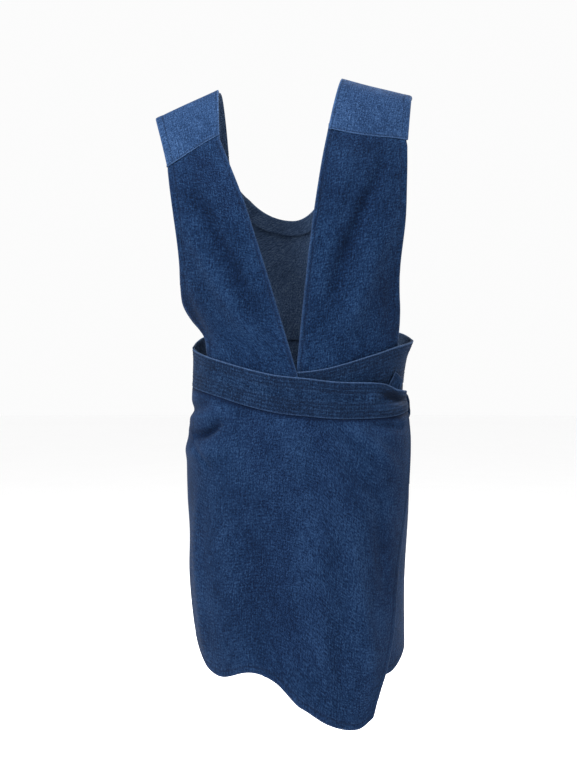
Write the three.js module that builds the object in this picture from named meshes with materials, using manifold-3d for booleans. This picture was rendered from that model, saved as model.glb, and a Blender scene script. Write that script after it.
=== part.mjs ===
// A denim artist's smock apron: a cross-over pinafore with a deep V at the back, wide shoulder yokes and a
// wrap skirt whose two back panels cross over and tie at the right side.
// Millimetres, +Z up. The origin is between the shoulder crests. The wearer faces +Y, so the wearer's right
// is +X. The garment hangs as it does on the wearer.
import * as THREE from "three";
import { mergeVertices } from "three/addons/utils/BufferGeometryUtils.js";
import Module from "manifold-3d";

// Cloth
const CLOTH = 1.2; // thickness of one layer
const LAYER = 2.4; // from one layer's middle to that of the layer sewn behind it
const FACING_LAYER = 3.2; // the same, for the narrow facings along the armholes and the neck
const SEAM_GAP = 0.5; // between two panels that meet at a seam
const WRAP_SPACE = 7; // from the under wrap's middle to the outer wrap's
const TUCK = 14; // how far a bodice panel reaches down inside a waistband
const BEHIND_BAND = 4.8; // from a band's middle to a bodice panel that is tucked in behind it
const SINK_OVER = 80; // a tucked panel comes back to the body's outline this far above its lower edge

// The outline of the body space that the garment hangs around: [height, place] at each station.
const LEFT_SIDE = [
  [-980, -146], [-900, -147], [-850, -153], [-760, -160], [-640, -165], [-560, -163],
  [-470, -156], [-400, -158], [-340, -182], [-240, -212], [-90, -268], [0, -300],
];
const RIGHT_SIDE = [
  [-980, 160], [-880, 167], [-760, 171], [-640, 179], [-560, 178], [-480, 169],
  [-400, 182], [-340, 188], [-240, 206], [-90, 250], [0, 276],
];
const BACK_DEPTH = [
  [-980, -141], [-800, -137], [-680, -134], [-590, -130], [-520, -123], [-450, -117],
  [-390, -116], [-300, -122], [-215, -127], [-150, -119], [-88, -96],
];
const FRONT_DEPTH = [
  [-980, 134], [-800, 130], [-680, 126], [-590, 121], [-520, 116], [-450, 113],
  [-390, 114], [-300, 122], [-215, 124], [-150, 112], [-88, 90],
];
const ROUNDNESS = 2.3; // 2 is an ellipse, and more is squarer

// Shoulders
const YOKE_SEAM = -88; // height of the yoke's seams, before the shoulder's slope
const CREST_FLAT = [-24, 8]; // the flat top of the yoke, back to front
const BACK_BEND = [[-84, -52], [-60, 0]]; // what the side view bends towards behind the crest: [depth, height]
const FRONT_BEND = [[46, 0], [78, -50]]; // and in front of it
const SLOPE_START = 70; // how far out the shoulder starts to fall
const LEFT_SLOPE = 0.42; // the left strap has slipped outwards, so it falls more
const RIGHT_SLOPE = 0.245;
const SLOPE_ENDS = [-380, -120]; // the slope fades out between these heights

// Where each strap's edges lie across the body: at the back seam, the crest and the front seam
const LEFT_YOKE = { inner: [-110, -116, -104], outer: [-188, -211, -186] };
const RIGHT_YOKE = { inner: [53, 74, 66], outer: [171, 184, 172] };

// Back panels: [height, place across]
const V_APEX = [-458, 6];
const LEFT_V_EDGE = [[-480, 12], V_APEX, [-260, -54], [YOKE_SEAM, -110]];
const RIGHT_V_EDGE = [[-480, 3], [-440, 6], [-260, 25], [-150, 41], [YOKE_SEAM, 53]];
const LEFT_BACK_EDGE = [
  [-480, -124], [-410, -132], [-376, -150], [-345, -163], [-210, -178], [YOKE_SEAM, -188],
];
const RIGHT_BACK_EDGE = [[-480, 154], [-330, 157], [-280, 159], [-190, 168], [YOKE_SEAM, 171]];
const LEFT_BACK_BOTTOMS = [-472, -438]; // heights of the lower corners, at the V edge and at the armhole edge
const RIGHT_BACK_BOTTOMS = [-468, -428];

// Front bib
const NECK_LOW = -205;
const NECK_SHARE = 0.5; // the share of the bib's rows that lie below the neckline
const BIB_BOTTOM = -400;
const LEFT_BIB_EDGE = [[-410, -138], [-330, -148], [-230, -146], [-150, -162], [YOKE_SEAM, -186]];
const RIGHT_BIB_EDGE = [[-410, 140], [-330, 148], [-230, 144], [-150, 154], [YOKE_SEAM, 172]];
const ARMHOLE_FACING = 26; // widths of the facings
const NECK_FACING = 24;
const FACING_START = 0.16; // an armhole facing starts at this share of its panel's height, above the band

// Angles round the body in degrees: 0 is the middle of the back, 90 the right side, 180 the front
const SIDE_SEAM = 98;
const SIDE_SEAM_GAP = 0.3; // left between two panels that meet at a side seam
const OUTER_BAND_END = 78;
const UNDER_END = -84; // where the under wrap ends, inside the left side
const CROSSING = [-95, -40]; // the wraps change places over this stretch

// Waistbands: [angle, height]
const OUTER_BAND_TOP = [
  [-SIDE_SEAM, -409], [-50, -427], [0, -458], [45, -470], [60, -480], [OUTER_BAND_END, -482],
];
const OUTER_BAND_BOTTOM = [
  [-SIDE_SEAM, -474], [-50, -490], [0, -517], [44, -521], [62, -518], [OUTER_BAND_END, -512],
];
const UNDER_BAND_TOP = [[UNDER_END, -425], [-40, -447], [0, -454], [37, -429], [60, -414], [SIDE_SEAM, -400]];
const UNDER_BAND_WIDTH = 64;
const FRONT_BAND_TOP = [[SIDE_SEAM, -400], [125, -387], [180, -384], [235, -393], [360 - SIDE_SEAM, -409]];
const FRONT_BAND_WIDTH = 65;

// Hems: [angle, height]
const OUTER_HEM = [
  [-SIDE_SEAM, -842], [-80, -862], [-60, -894], [-45, -904], [-25, -894], [-12, -906],
  [0, -942], [12, -966], [28, -975], [40, -958],
];
const UNDER_HEM = [[UNDER_END, -880], [0, -905], [50, -902], [75, -878], [SIDE_SEAM, -864]];
const FRONT_HEM = [[SIDE_SEAM, -864], [180, -872], [360 - SIDE_SEAM, -842]];

// The outer wrap's free edge, and the line along which its corner folds open: [share of height, angle]
const FREE_EDGE = [[0, 40], [0.12, 48], [0.3, 56], [1, 77]];
const FOLD_LINE = [[0, 16], [0.5, 39], [1, 72]];
const FOLD_GAP = 2; // degrees left open along the fold line, so that the corner can turn

// Pockets on the front skirt
const POCKET_ANGLES = [[126, 171], [189, 234]];
const POCKET_TOP = -500;
const POCKET_DEPTH = 165;
const POCKET_STANDOFF = 14; // how far the pocket's bag stands off the skirt in its middle

// Closure at the right side
const KNOT = { angle: 94, height: -508, lift: 10, size: [40, 8, 46] };
const TIE_WIDTH = 22;
const SIDE_RADIUS = 145; // the body's rough radius where the ties lie
const TIE_END = { angle: 58, bottom: -474, length: 22, lean: 30, lift: 3 };
const TIE_TAIL = { angle: 106, bottom: -628, length: 110, lean: 0, lift: 4.2 };
const SIDE_TIE = { angles: [104, 122], heights: [-494, -470], lift: 4.2 };
const BUTTON = {
  angle: -80, height: -458, lift: -13, radius: 7.5, thickness: 2.6,
  hole: 0.9, spread: 2.2, shank: 1.4, shankLength: 1.2,
};

// Columns and rows of each piece's grid
const GRID = {
  yoke: [6, 12],
  backPanel: [5, 12],
  backFacing: [1, 10],
  bibHalf: [5, 14],
  bibFacing: [1, 12],
  neckFacing: [20, 1],
  wrapBand: [18, 2],
  frontBand: [16, 2],
  outerSkirt: [16, 10],
  corner: [5, 10],
  underSkirt: [18, 8],
  pocket: [8, 5],
  tieEnd: [3, 4],
  tieTail: [3, 8],
  sideTie: [6, 1],
};

const wasm = await Module();
wasm.setup();

// Denim in the shades of the object's parts
const DENIM = { yoke: 0x37588b, panel: 0x284067, band: 0x1d3553, skirt: 0x1d3658, lining: 0x4a678f };

function denim(shade) {
  return new THREE.MeshStandardMaterial({ color: DENIM[shade], roughness: 0.92, metalness: 0 });
}

function plastic() {
  return new THREE.MeshStandardMaterial({ color: 0x26303f, roughness: 0.4, metalness: 0 });
}

// The value at a place on the smooth curve through [place, value] stations, in rising order of place.
function along(stations, place) {
  const last = stations.length - 1;
  let i = 0;
  while (i < last - 1 && place > stations[i + 1][0]) i += 1;
  const slope = (j) => {
    const [p0, v0] = stations[Math.max(j - 1, 0)];
    const [p1, v1] = stations[Math.min(j + 1, last)];
    return (v1 - v0) / (p1 - p0);
  };
  const [start, from] = stations[i];
  const [end, to] = stations[i + 1];
  const span = end - start;
  const t = THREE.MathUtils.clamp((place - start) / span, 0, 1);
  const rise = 3 * t * t - 2 * t * t * t;
  const leave = (t - 2 * t * t + t * t * t) * span * slope(i);
  const arrive = (t * t * t - t * t) * span * slope(i + 1);
  return from + (to - from) * rise + leave + arrive;
}

function mix(a, b, share) {
  return a + (b - a) * share;
}

// Middle and half width of the body space at a height.
function span(z) {
  const left = along(LEFT_SIDE, z);
  const right = along(RIGHT_SIDE, z);
  return { middle: (left + right) / 2, half: (right - left) / 2 };
}

// A point of the body's outline at an angle round it and a height.
function outline(angle, z) {
  const turn = THREE.MathUtils.degToRad(angle);
  const bend = (value) => Math.sign(value) * Math.abs(value) ** (2 / ROUNDNESS);
  const { middle, half } = span(z);
  const across = bend(Math.sin(turn));
  const back = bend(Math.cos(turn));
  const depth = along(back > 0 ? BACK_DEPTH : FRONT_DEPTH, z);
  return new THREE.Vector3(middle + half * across, depth * Math.abs(back), z);
}

// How far a strap at this place across has fallen with the shoulder's slope.
function shoulderFall(x) {
  const slope = x < 0 ? LEFT_SLOPE : RIGHT_SLOPE;
  return slope * Math.max(Math.abs(x) - SLOPE_START, 0);
}

// How much of the body's depth is left at a place across it.
function depthShare(x, z) {
  const { middle, half } = span(z);
  const out = Math.min(Math.abs(x - middle) / half, 1);
  return (1 - out ** ROUNDNESS) ** (1 / ROUNDNESS);
}

// A point of the bodice, back or front, at a place across and a height before the slope.
function bodice(depths, x, z) {
  const fade = THREE.MathUtils.smoothstep(z, ...SLOPE_ENDS);
  return new THREE.Vector3(x, along(depths, z) * depthShare(x, z), z - shoulderFall(x) * fade);
}

// The side view of a shoulder, from the back seam over the flat crest to the front seam: (depth, height).
const SHOULDER = new THREE.CurvePath();
const BACK_SEAM_POINT = new THREE.Vector2(along(BACK_DEPTH, YOKE_SEAM), YOKE_SEAM);
const FRONT_SEAM_POINT = new THREE.Vector2(along(FRONT_DEPTH, YOKE_SEAM), YOKE_SEAM);
const CREST_BACK = new THREE.Vector2(CREST_FLAT[0], 0);
const CREST_FRONT = new THREE.Vector2(CREST_FLAT[1], 0);
const bendPoints = (bend) => bend.map(([depth, height]) => new THREE.Vector2(depth, height));
SHOULDER.add(new THREE.CubicBezierCurve(BACK_SEAM_POINT, ...bendPoints(BACK_BEND), CREST_BACK));
SHOULDER.add(new THREE.LineCurve(CREST_BACK, CREST_FRONT));
SHOULDER.add(new THREE.CubicBezierCurve(CREST_FRONT, ...bendPoints(FRONT_BEND), FRONT_SEAM_POINT));

// A point over the shoulder: the share runs from the back seam, 0, to the front seam, 1.
function shoulder(x, share) {
  const stretch = Math.min(Math.floor(share * 3), 2);
  const side = SHOULDER.curves[stretch].getPoint(share * 3 - stretch);
  return new THREE.Vector3(x, side.x * depthShare(x, side.y), side.y - shoulderFall(x));
}

// The surface's unit normal at (a, b), from small steps either way. The step in a, then the step in b,
// then the normal are right-handed.
function normalOf(surface, a, b, stepA, stepB) {
  const alongA = surface(a + stepA, b).sub(surface(a - stepA, b));
  const alongB = surface(a, b + stepB).sub(surface(a, b - stepB));
  return alongA.cross(alongB).normalize();
}

// Points of each surface, moved out from it by an offset.
function roundBody(angle, z, offset) {
  const normal = normalOf(outline, angle, z, 0.5, 2);
  return outline(angle, z).addScaledVector(normal, offset);
}

function onBack(x, z, offset) {
  const surface = (a, b) => bodice(BACK_DEPTH, a, b);
  return surface(x, z).addScaledVector(normalOf(surface, x, z, 1, 1), offset);
}

function onFront(x, z, offset) {
  const surface = (a, b) => bodice(FRONT_DEPTH, a, b);
  return surface(x, z).addScaledVector(normalOf(surface, x, z, 1, 1), -offset);
}

function onShoulder(x, share, offset) {
  const inside = THREE.MathUtils.clamp(share, 0.002, 0.998);
  return shoulder(x, share).addScaledVector(normalOf(shoulder, x, inside, 1, 0.001), offset);
}

// One layer of cloth: place(u, v, offset) gives the point at the shares u and v of its width and length,
// moved out by the offset. A layer whose u and v run the other way round is turned inside out first.
function clothGeometry(place, [columns, rows], mirrored = false) {
  const grid = new THREE.BoxGeometry(1, 1, 1, columns, rows, 1);
  grid.deleteAttribute("normal");
  grid.deleteAttribute("uv");
  const points = grid.attributes.position;
  for (let i = 0; i < points.count; i += 1) {
    const u = mirrored ? 0.5 - points.getX(i) : points.getX(i) + 0.5;
    const point = place(u, points.getY(i) + 0.5, points.getZ(i) * CLOTH);
    points.setXYZ(i, point.x, point.y, point.z);
  }
  return mergeVertices(grid, 1e-4);
}

function solidOf(geometry) {
  const bare = mergeVertices(geometry, 1e-4);
  return new wasm.Manifold(
    new wasm.Mesh({
      numProp: 3,
      vertProperties: bare.attributes.position.array,
      triVerts: new Uint32Array(bare.index.array),
    }),
  );
}

function geometryOf(solid) {
  const mesh = solid.getMesh();
  return new THREE.BufferGeometry()
    .setAttribute("position", new THREE.BufferAttribute(mesh.vertProperties, 3))
    .setIndex(new THREE.BufferAttribute(mesh.triVerts, 1));
}

const smock = new THREE.Group();

function addPiece(name, geometry, material) {
  geometry.computeVertexNormals();
  const mesh = new THREE.Mesh(geometry, material);
  mesh.name = name;
  smock.add(mesh);
  return mesh;
}

// How far out each wrap lies: the outer wrap starts flush at the left seam, and the under wrap at the right.
function outerWrap(angle) {
  return WRAP_SPACE * THREE.MathUtils.smoothstep(angle, ...CROSSING);
}

function underWrap(angle) {
  return outerWrap(angle) - WRAP_SPACE;
}

// A band and the facing sewn behind it, between two edges given as heights at each angle.
function addBand(name, angles, top, bottom, lift, grid) {
  const layer = (behind) => (u, v, offset) => {
    const angle = mix(...angles, u);
    const z = mix(bottom(angle), top(angle), v);
    return roundBody(angle, z, lift(angle) - behind + offset);
  };
  addPiece(name, clothGeometry(layer(0), grid), denim("band"));
  addPiece(`${name}_facing`, clothGeometry(layer(LAYER), grid), denim("lining"));
}

function underBandBottom(angle) {
  return along(UNDER_BAND_TOP, angle) - UNDER_BAND_WIDTH;
}

function frontBandBottom(angle) {
  return along(FRONT_BAND_TOP, angle) - FRONT_BAND_WIDTH;
}

function outerBandBottom(angle) {
  return along(OUTER_BAND_BOTTOM, angle);
}

function addWaistbands() {
  addBand(
    "waistband_wrap_outer",
    [-SIDE_SEAM + SIDE_SEAM_GAP, OUTER_BAND_END],
    (angle) => along(OUTER_BAND_TOP, angle),
    outerBandBottom,
    outerWrap,
    GRID.wrapBand,
  );
  addBand(
    "waistband_wrap_under",
    [UNDER_END, SIDE_SEAM - SIDE_SEAM_GAP],
    (angle) => along(UNDER_BAND_TOP, angle),
    underBandBottom,
    underWrap,
    GRID.wrapBand,
  );
  addBand(
    "waistband_front",
    [SIDE_SEAM, 360 - SIDE_SEAM],
    (angle) => along(FRONT_BAND_TOP, angle),
    frontBandBottom,
    () => 0,
    GRID.frontBand,
  );
}

// Skirt panels hang from the bands. The shares run round the body and from the hem up to the band.
function skirtPanel(startAt, endAt, hem, top, lift) {
  return (u, v, offset) => {
    const angle = mix(startAt(v), endAt(v), u);
    const z = mix(along(hem, angle), top(angle) - SEAM_GAP, v);
    return roundBody(angle, z, lift(angle) + offset);
  };
}

function addSkirt() {
  const leftSeam = () => -SIDE_SEAM + SIDE_SEAM_GAP;
  const rightSeam = () => SIDE_SEAM - SIDE_SEAM_GAP;
  const fold = (v) => along(FOLD_LINE, v);
  const pastFold = (v) => fold(v) + FOLD_GAP;
  const freeEdge = (v) => along(FREE_EDGE, v);
  const outer = skirtPanel(leftSeam, fold, OUTER_HEM, outerBandBottom, outerWrap);
  const corner = skirtPanel(pastFold, freeEdge, OUTER_HEM, outerBandBottom, outerWrap);
  const under = skirtPanel(() => UNDER_END, rightSeam, UNDER_HEM, underBandBottom, underWrap);
  const front = skirtPanel(() => SIDE_SEAM, () => 360 - SIDE_SEAM, FRONT_HEM, frontBandBottom, () => 0);
  addPiece("skirt_wrap_outer", clothGeometry(outer, GRID.outerSkirt), denim("skirt"));
  addPiece("skirt_wrap_corner", clothGeometry(corner, GRID.corner), denim("skirt"));
  addPiece("skirt_wrap_under", clothGeometry(under, GRID.underSkirt), denim("skirt"));
  addPiece("skirt_front", clothGeometry(front, GRID.underSkirt), denim("skirt"));
}

// A patch pocket: a bag of cloth that touches the skirt near its edges and stands off in its middle.
function addPockets() {
  POCKET_ANGLES.forEach(([start, end], index) => {
    const pocket = (u, v, offset) => {
      const z = POCKET_TOP - POCKET_DEPTH * (1 - v);
      const crown = Math.sin(Math.PI * u) * mix(0.25, 1, v);
      return roundBody(mix(start, end, u), z, LAYER + POCKET_STANDOFF * crown + offset);
    };
    addPiece(index === 0 ? "right_pocket" : "left_pocket", clothGeometry(pocket, GRID.pocket), denim("skirt"));
  });
}

// A strap's edge over the shoulder, from its places at the back seam, the crest and the front seam.
function yokeEdge(places, share) {
  return along([[0, places[0]], [0.5, places[1]], [1, places[2]]], share);
}

function addYoke(side, strap) {
  const mirrored = side === "left";
  const layer = (behind) => (u, v, offset) => {
    const share = mix(0.003, 0.997, v);
    const x = mix(yokeEdge(strap.inner, share), yokeEdge(strap.outer, share), u);
    return onShoulder(x, share, offset - behind);
  };
  addPiece(`${side}_yoke`, clothGeometry(layer(0), GRID.yoke, mirrored), denim("yoke"));
  addPiece(`${side}_yoke_lining`, clothGeometry(layer(LAYER), GRID.yoke, mirrored), denim("lining"));
}

// The angle round the body of a place across its back.
function angleAt(x, z) {
  const { middle, half } = span(z);
  const out = THREE.MathUtils.clamp((x - middle) / half, -1, 1);
  return THREE.MathUtils.radToDeg(Math.asin(Math.sign(out) * Math.abs(out) ** (ROUNDNESS / 2)));
}

// How deep a bodice panel lies as it goes down inside its waistband.
function sinkInside(z, bottom, depth) {
  return depth * (1 - THREE.MathUtils.smoothstep(z, bottom + TUCK, bottom + SINK_OVER));
}

// The share of a panel's width at which the facing along its armhole edge starts.
function facingStart(inner, edge) {
  return 1 - ARMHOLE_FACING / Math.abs(edge - inner);
}

// A back panel runs from inside its waistband up to the yoke seam, between its V edge and its armhole edge.
// bottoms are its lower corners' heights at those two edges.
function addBackPanel(side, vEdge, armEdge, bottoms, wrap) {
  const mirrored = side === "left";
  const top = YOKE_SEAM - SEAM_GAP;
  const layer = (from, behind) => (u, v, offset) => {
    const z = mix(mix(...bottoms, mix(from(v), 1, u)), top, v);
    const x = mix(along(vEdge, z), along(armEdge, z), mix(from(v), 1, u));
    const depth = wrap(angleAt(x, z)) - BEHIND_BAND;
    return onBack(x, z, sinkInside(z, bottoms[1], depth) - behind + offset);
  };
  const start = (v) => {
    const z = mix(bottoms[1], top, v);
    return facingStart(along(vEdge, z), along(armEdge, z));
  };
  const facing = (u, v, offset) => layer(start, FACING_LAYER)(u, mix(FACING_START, 1, v), offset);
  const panel = clothGeometry(layer(() => 0, 0), GRID.backPanel, mirrored);
  addPiece(`${side}_back_panel`, panel, denim("panel"));
  addPiece(`${side}_back_armhole_facing`, clothGeometry(facing, GRID.backFacing, mirrored), denim("lining"));
}

// Half of the bib, from the centre line and the neckline out to the armhole edge. from gives the share of its
// width at which it starts, for the places across of its inner and outer edges.
function bibHalf(armEdge, neckAtSeam, behind, from) {
  const top = YOKE_SEAM - SEAM_GAP;
  return (u, v, offset) => {
    const turn = Math.max((v - NECK_SHARE) / (1 - NECK_SHARE), 0) * (Math.PI / 2);
    const belowNeck = mix(BIB_BOTTOM, NECK_LOW, Math.min(v / NECK_SHARE, 1));
    const z = turn > 0 ? mix(NECK_LOW, top, 1 - Math.cos(turn)) : belowNeck;
    const inner = neckAtSeam * Math.sin(turn);
    const edge = along(armEdge, z);
    const x = mix(inner, edge, mix(from(inner, edge), 1, u));
    return onFront(x, z, sinkInside(z, BIB_BOTTOM, -BEHIND_BAND) - behind + offset);
  };
}

function addBib() {
  const halves = [
    { side: "left", edge: LEFT_BIB_EDGE, neck: LEFT_YOKE.inner[2], mirrored: false },
    { side: "right", edge: RIGHT_BIB_EDGE, neck: RIGHT_YOKE.inner[2], mirrored: true },
  ];
  const [left, right] = halves.map(({ edge, neck, mirrored }) =>
    solidOf(clothGeometry(bibHalf(edge, neck, 0, () => 0), GRID.bibHalf, mirrored)),
  );
  addPiece("front_bib", geometryOf(left.add(right)), denim("panel"));
  halves.forEach(({ side, edge, neck, mirrored }) => {
    const half = bibHalf(edge, neck, FACING_LAYER, facingStart);
    const facing = (u, v, offset) => half(u, mix(FACING_START, 1, v), offset);
    const geometry = clothGeometry(facing, GRID.bibFacing, mirrored);
    addPiece(`${side}_front_armhole_facing`, geometry, denim("lining"));
  });
}

// The neck facing follows the neckline from seam to seam, behind the bib.
function addNeckFacing() {
  const top = YOKE_SEAM - SEAM_GAP;
  const facing = (u, v, offset) => {
    const turn = mix(-Math.PI / 2, Math.PI / 2, u);
    const left = LEFT_YOKE.inner[2] - NECK_FACING * v;
    const right = RIGHT_YOKE.inner[2] + NECK_FACING * v;
    const low = NECK_LOW - NECK_FACING * v;
    const x = Math.abs(Math.sin(turn)) * (turn < 0 ? left : right);
    return onFront(x, mix(top, low, Math.cos(turn)), offset - FACING_LAYER);
  };
  addPiece("front_neck_facing", clothGeometry(facing, GRID.neckFacing), denim("lining"));
}

// The knot at the right side, its two ends and the strip from the side seam that is tied into it.
function addClosure() {
  const knot = new THREE.SphereGeometry(0.5, 16, 10);
  const middle = roundBody(KNOT.angle, KNOT.height, KNOT.lift);
  const outward = roundBody(KNOT.angle, KNOT.height, KNOT.lift + 1).sub(middle);
  knot.scale(...KNOT.size);
  knot.rotateZ(Math.atan2(outward.y, outward.x) + Math.PI / 2);
  knot.translate(middle.x, middle.y, middle.z);
  knot.deleteAttribute("normal");
  knot.deleteAttribute("uv");
  addPiece("tie_knot", mergeVertices(knot, 1e-4), denim("band"));

  const strip = ({ angle, bottom, length, lean, lift }) => (u, v, offset) => {
    const tilt = THREE.MathUtils.degToRad(lean);
    const across = (u - 0.5) * TIE_WIDTH;
    const sideways = across * Math.cos(tilt) + v * length * Math.sin(tilt);
    const z = bottom + v * length * Math.cos(tilt) - across * Math.sin(tilt);
    return roundBody(angle + THREE.MathUtils.radToDeg(sideways / SIDE_RADIUS), z, lift + offset);
  };
  addPiece("tie_end", clothGeometry(strip(TIE_END), GRID.tieEnd), denim("band"));
  addPiece("tie_tail", clothGeometry(strip(TIE_TAIL), GRID.tieTail), denim("band"));

  const sideTie = (u, v, offset) => {
    const angle = mix(...SIDE_TIE.angles, u);
    const z = mix(...SIDE_TIE.heights, u) + TIE_WIDTH * (v - 0.5);
    return roundBody(angle, z, SIDE_TIE.lift + offset);
  };
  addPiece("side_tie", clothGeometry(sideTie, GRID.sideTie), denim("band"));
}

// The button inside the left side, which the under band's end fastens to, and its thread shank.
function addButton() {
  const { angle, height, radius, thickness, hole, spread, lift, shank } = BUTTON;
  const disc = new THREE.CylinderGeometry(radius, radius, thickness, 24);
  let body = solidOf(stripped(disc));
  for (let i = 0; i < 4; i += 1) {
    const turn = (i + 0.5) * (Math.PI / 2);
    const bore = new THREE.CylinderGeometry(hole, hole, 2 * thickness, 8);
    bore.translate(spread * Math.cos(turn), 0, spread * Math.sin(turn));
    body = body.subtract(solidOf(stripped(bore)));
  }
  const stem = new THREE.CylinderGeometry(shank, shank, BUTTON.shankLength, 12);
  const seat = roundBody(angle, height, lift);
  const outward = roundBody(angle, height, lift + 1).sub(seat);
  const place = (geometry, distance) => {
    const turn = new THREE.Quaternion().setFromUnitVectors(new THREE.Vector3(0, 1, 0), outward);
    geometry.applyQuaternion(turn);
    const at = seat.clone().addScaledVector(outward, distance);
    return geometry.translate(at.x, at.y, at.z);
  };
  addPiece("inner_button", place(geometryOf(body), 0), plastic());
  const stemAt = thickness / 2 + SEAM_GAP + BUTTON.shankLength / 2;
  addPiece("button_thread", place(stripped(stem), stemAt), denim("lining"));
}

function stripped(geometry) {
  geometry.deleteAttribute("normal");
  geometry.deleteAttribute("uv");
  return mergeVertices(geometry, 1e-4);
}

addYoke("left", LEFT_YOKE);
addYoke("right", RIGHT_YOKE);
addBackPanel("left", LEFT_V_EDGE, LEFT_BACK_EDGE, LEFT_BACK_BOTTOMS, outerWrap);
addBackPanel("right", RIGHT_V_EDGE, RIGHT_BACK_EDGE, RIGHT_BACK_BOTTOMS, underWrap);
addBib();
addNeckFacing();
addWaistbands();
addSkirt();
addPockets();
addClosure();
addButton();

export default smock;
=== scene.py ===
"""A wrap-around denim artist's smock apron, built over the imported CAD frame.

Every panel is a sheet of cloth with two faces and folds, and the outward ones have sewn stitches. Shapes
are worked out in millimetres, in the frame's own axes: +X the wearer's right, +Y forwards, +Z up. Angles go
round the body in degrees: 0 is the middle of the back, 90 the right side and 180 the front.
"""

import math

import bpy
import numpy as np
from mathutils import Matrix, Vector


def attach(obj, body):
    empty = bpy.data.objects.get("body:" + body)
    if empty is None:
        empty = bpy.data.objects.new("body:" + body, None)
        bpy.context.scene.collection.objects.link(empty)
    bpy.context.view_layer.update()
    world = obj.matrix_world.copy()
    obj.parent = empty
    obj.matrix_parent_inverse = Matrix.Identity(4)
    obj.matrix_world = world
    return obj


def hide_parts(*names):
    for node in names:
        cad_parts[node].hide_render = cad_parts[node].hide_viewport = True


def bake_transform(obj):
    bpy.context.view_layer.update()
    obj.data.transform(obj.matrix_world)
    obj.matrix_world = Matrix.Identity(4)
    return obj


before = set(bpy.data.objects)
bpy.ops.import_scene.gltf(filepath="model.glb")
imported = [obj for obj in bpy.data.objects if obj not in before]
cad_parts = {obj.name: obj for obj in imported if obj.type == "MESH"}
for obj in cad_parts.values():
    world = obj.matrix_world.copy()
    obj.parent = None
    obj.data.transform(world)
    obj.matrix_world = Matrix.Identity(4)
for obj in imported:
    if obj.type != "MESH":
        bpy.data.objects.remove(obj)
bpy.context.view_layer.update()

MM = 0.001

# The camera, at the photograph's angle: level, straight at the back
CAMERA_AT = (-0.007, -2.2, -0.473)
LENS = 66.34

# Cloth
CLOTH = 1.1  # thickness of one layer
LAYER = 2.4  # from one layer's middle to that of the layer sewn behind it
FACING_LAYER = 3.2
LAP = 1.25  # from a lapping layer's middle to that of the layer tucked under it
SEAM_TUCK = 9  # how far a panel runs on under the piece sewn over it
WRAP_SPACE = 7  # how far the outer wrap stands off the under one
BAND_TUCK = 14  # how far a bodice panel reaches down inside a waistband
BEHIND_BAND = 4.8  # how deep inside its waistband a bodice panel's lower end lies
SINK_OVER = 80  # the height over which the panel goes in
YOKE_LAP_RUN = 8  # the height over which a panel goes in under its yoke
SKIRT_LAP_RUN = [-5, 1]  # the same for a skirt panel under its band, from the seam
STEP = 2.6  # length of a grid cell
TIE_STEPS = (1.2, 1.6)  # a tie's grid cell
BAND_STEP = 1.3  # height of a grid cell in a waistband, whose stitched lines are close together
SKIRT_TUCK = 7  # how far a skirt panel runs on up inside its band

# The outline of the body space: [height, place] at each station
LEFT_SIDE = [
    [-980, -139], [-900, -141], [-870, -146], [-830, -153], [-760, -158], [-700, -158],
    [-640, -162], [-560, -163], [-470, -154], [-400, -156], [-340, -182], [-240, -212],
    [-90, -268], [0, -300],
]  # fmt: skip
RIGHT_SIDE = [
    [-980, 165], [-880, 171], [-760, 171], [-640, 178], [-560, 178], [-480, 169],
    [-400, 182], [-340, 188], [-240, 206], [-90, 250], [0, 276],
]  # fmt: skip
BACK_DEPTH = [
    [-980, -141], [-800, -137], [-680, -134], [-590, -130], [-520, -123], [-450, -117],
    [-390, -116], [-300, -122], [-215, -127], [-150, -119], [-88, -96],
]  # fmt: skip
FRONT_DEPTH = [
    [-980, 134], [-800, 130], [-680, 126], [-590, 121], [-520, 116], [-450, 113],
    [-390, 114], [-300, 122], [-215, 124], [-150, 112], [-88, 90],
]  # fmt: skip
ROUNDNESS = 2.3  # 2 would be an ellipse

# Shoulders. The crest is flat between two places, and a curve bends from it to each seam.
YOKE_SEAM = -88
CREST_FLAT = [-24, 8]
BACK_BEND = [[-84, -52], [-60, 0]]
FRONT_BEND = [[46, 0], [78, -50]]
LEFT_SLOPE_START = 70  # how far from the middle a strap starts to fall with the shoulder, and how steeply
RIGHT_SLOPE_START = 58
LEFT_SLOPE = 0.46
RIGHT_SLOPE = 0.245
SLOPE_ENDS = [-380, -120]  # the heights between which the bodice takes on that fall
YOKE_RUN = 255  # length of a yoke over the shoulder
SHOULDER_LEAN = 0.33  # how far the shoulder leans forwards for each millimetre above the seam
# The yokes' back seam: [place across, height]. Each yoke's edges: [share of the run, place across].
BACK_SEAM = [[-189, -92], [-110, -83.5], [53, -93.5], [171, -79.5]]
LEFT_YOKE = {
    "inner": [[0, -110], [0.33, -115], [0.6, -114], [1, -104]],
    "outer": [[0, -189], [0.3, -210], [0.6, -203], [1, -186]],
}
RIGHT_YOKE = {
    "inner": [[0, 53], [0.33, 76], [0.6, 77], [1, 66]],
    "outer": [[0, 171], [0.33, 182], [0.6, 183], [1, 172]],
}

# Back panels: [height, place across]
LEFT_V_EDGE = [[-480, 12], [-458, 6], [-260, -54], [YOKE_SEAM, -110]]
RIGHT_V_EDGE = [[-480, 3], [-440, 6], [-260, 25], [-150, 41], [YOKE_SEAM, 53]]
LEFT_BACK_EDGE = [
    [-480, -124], [-410, -133], [-376, -157], [-345, -169], [-280, -171], [-210, -175],
    [-150, -181], [YOKE_SEAM, -189],
]  # fmt: skip
RIGHT_BACK_EDGE = [[-480, 158], [-394, 163], [-330, 161], [-280, 161], [-190, 168], [YOKE_SEAM, 171]]
LEFT_BACK_BOTTOMS = [-472, -438]
RIGHT_BACK_BOTTOMS = [-468, -428]

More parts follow.
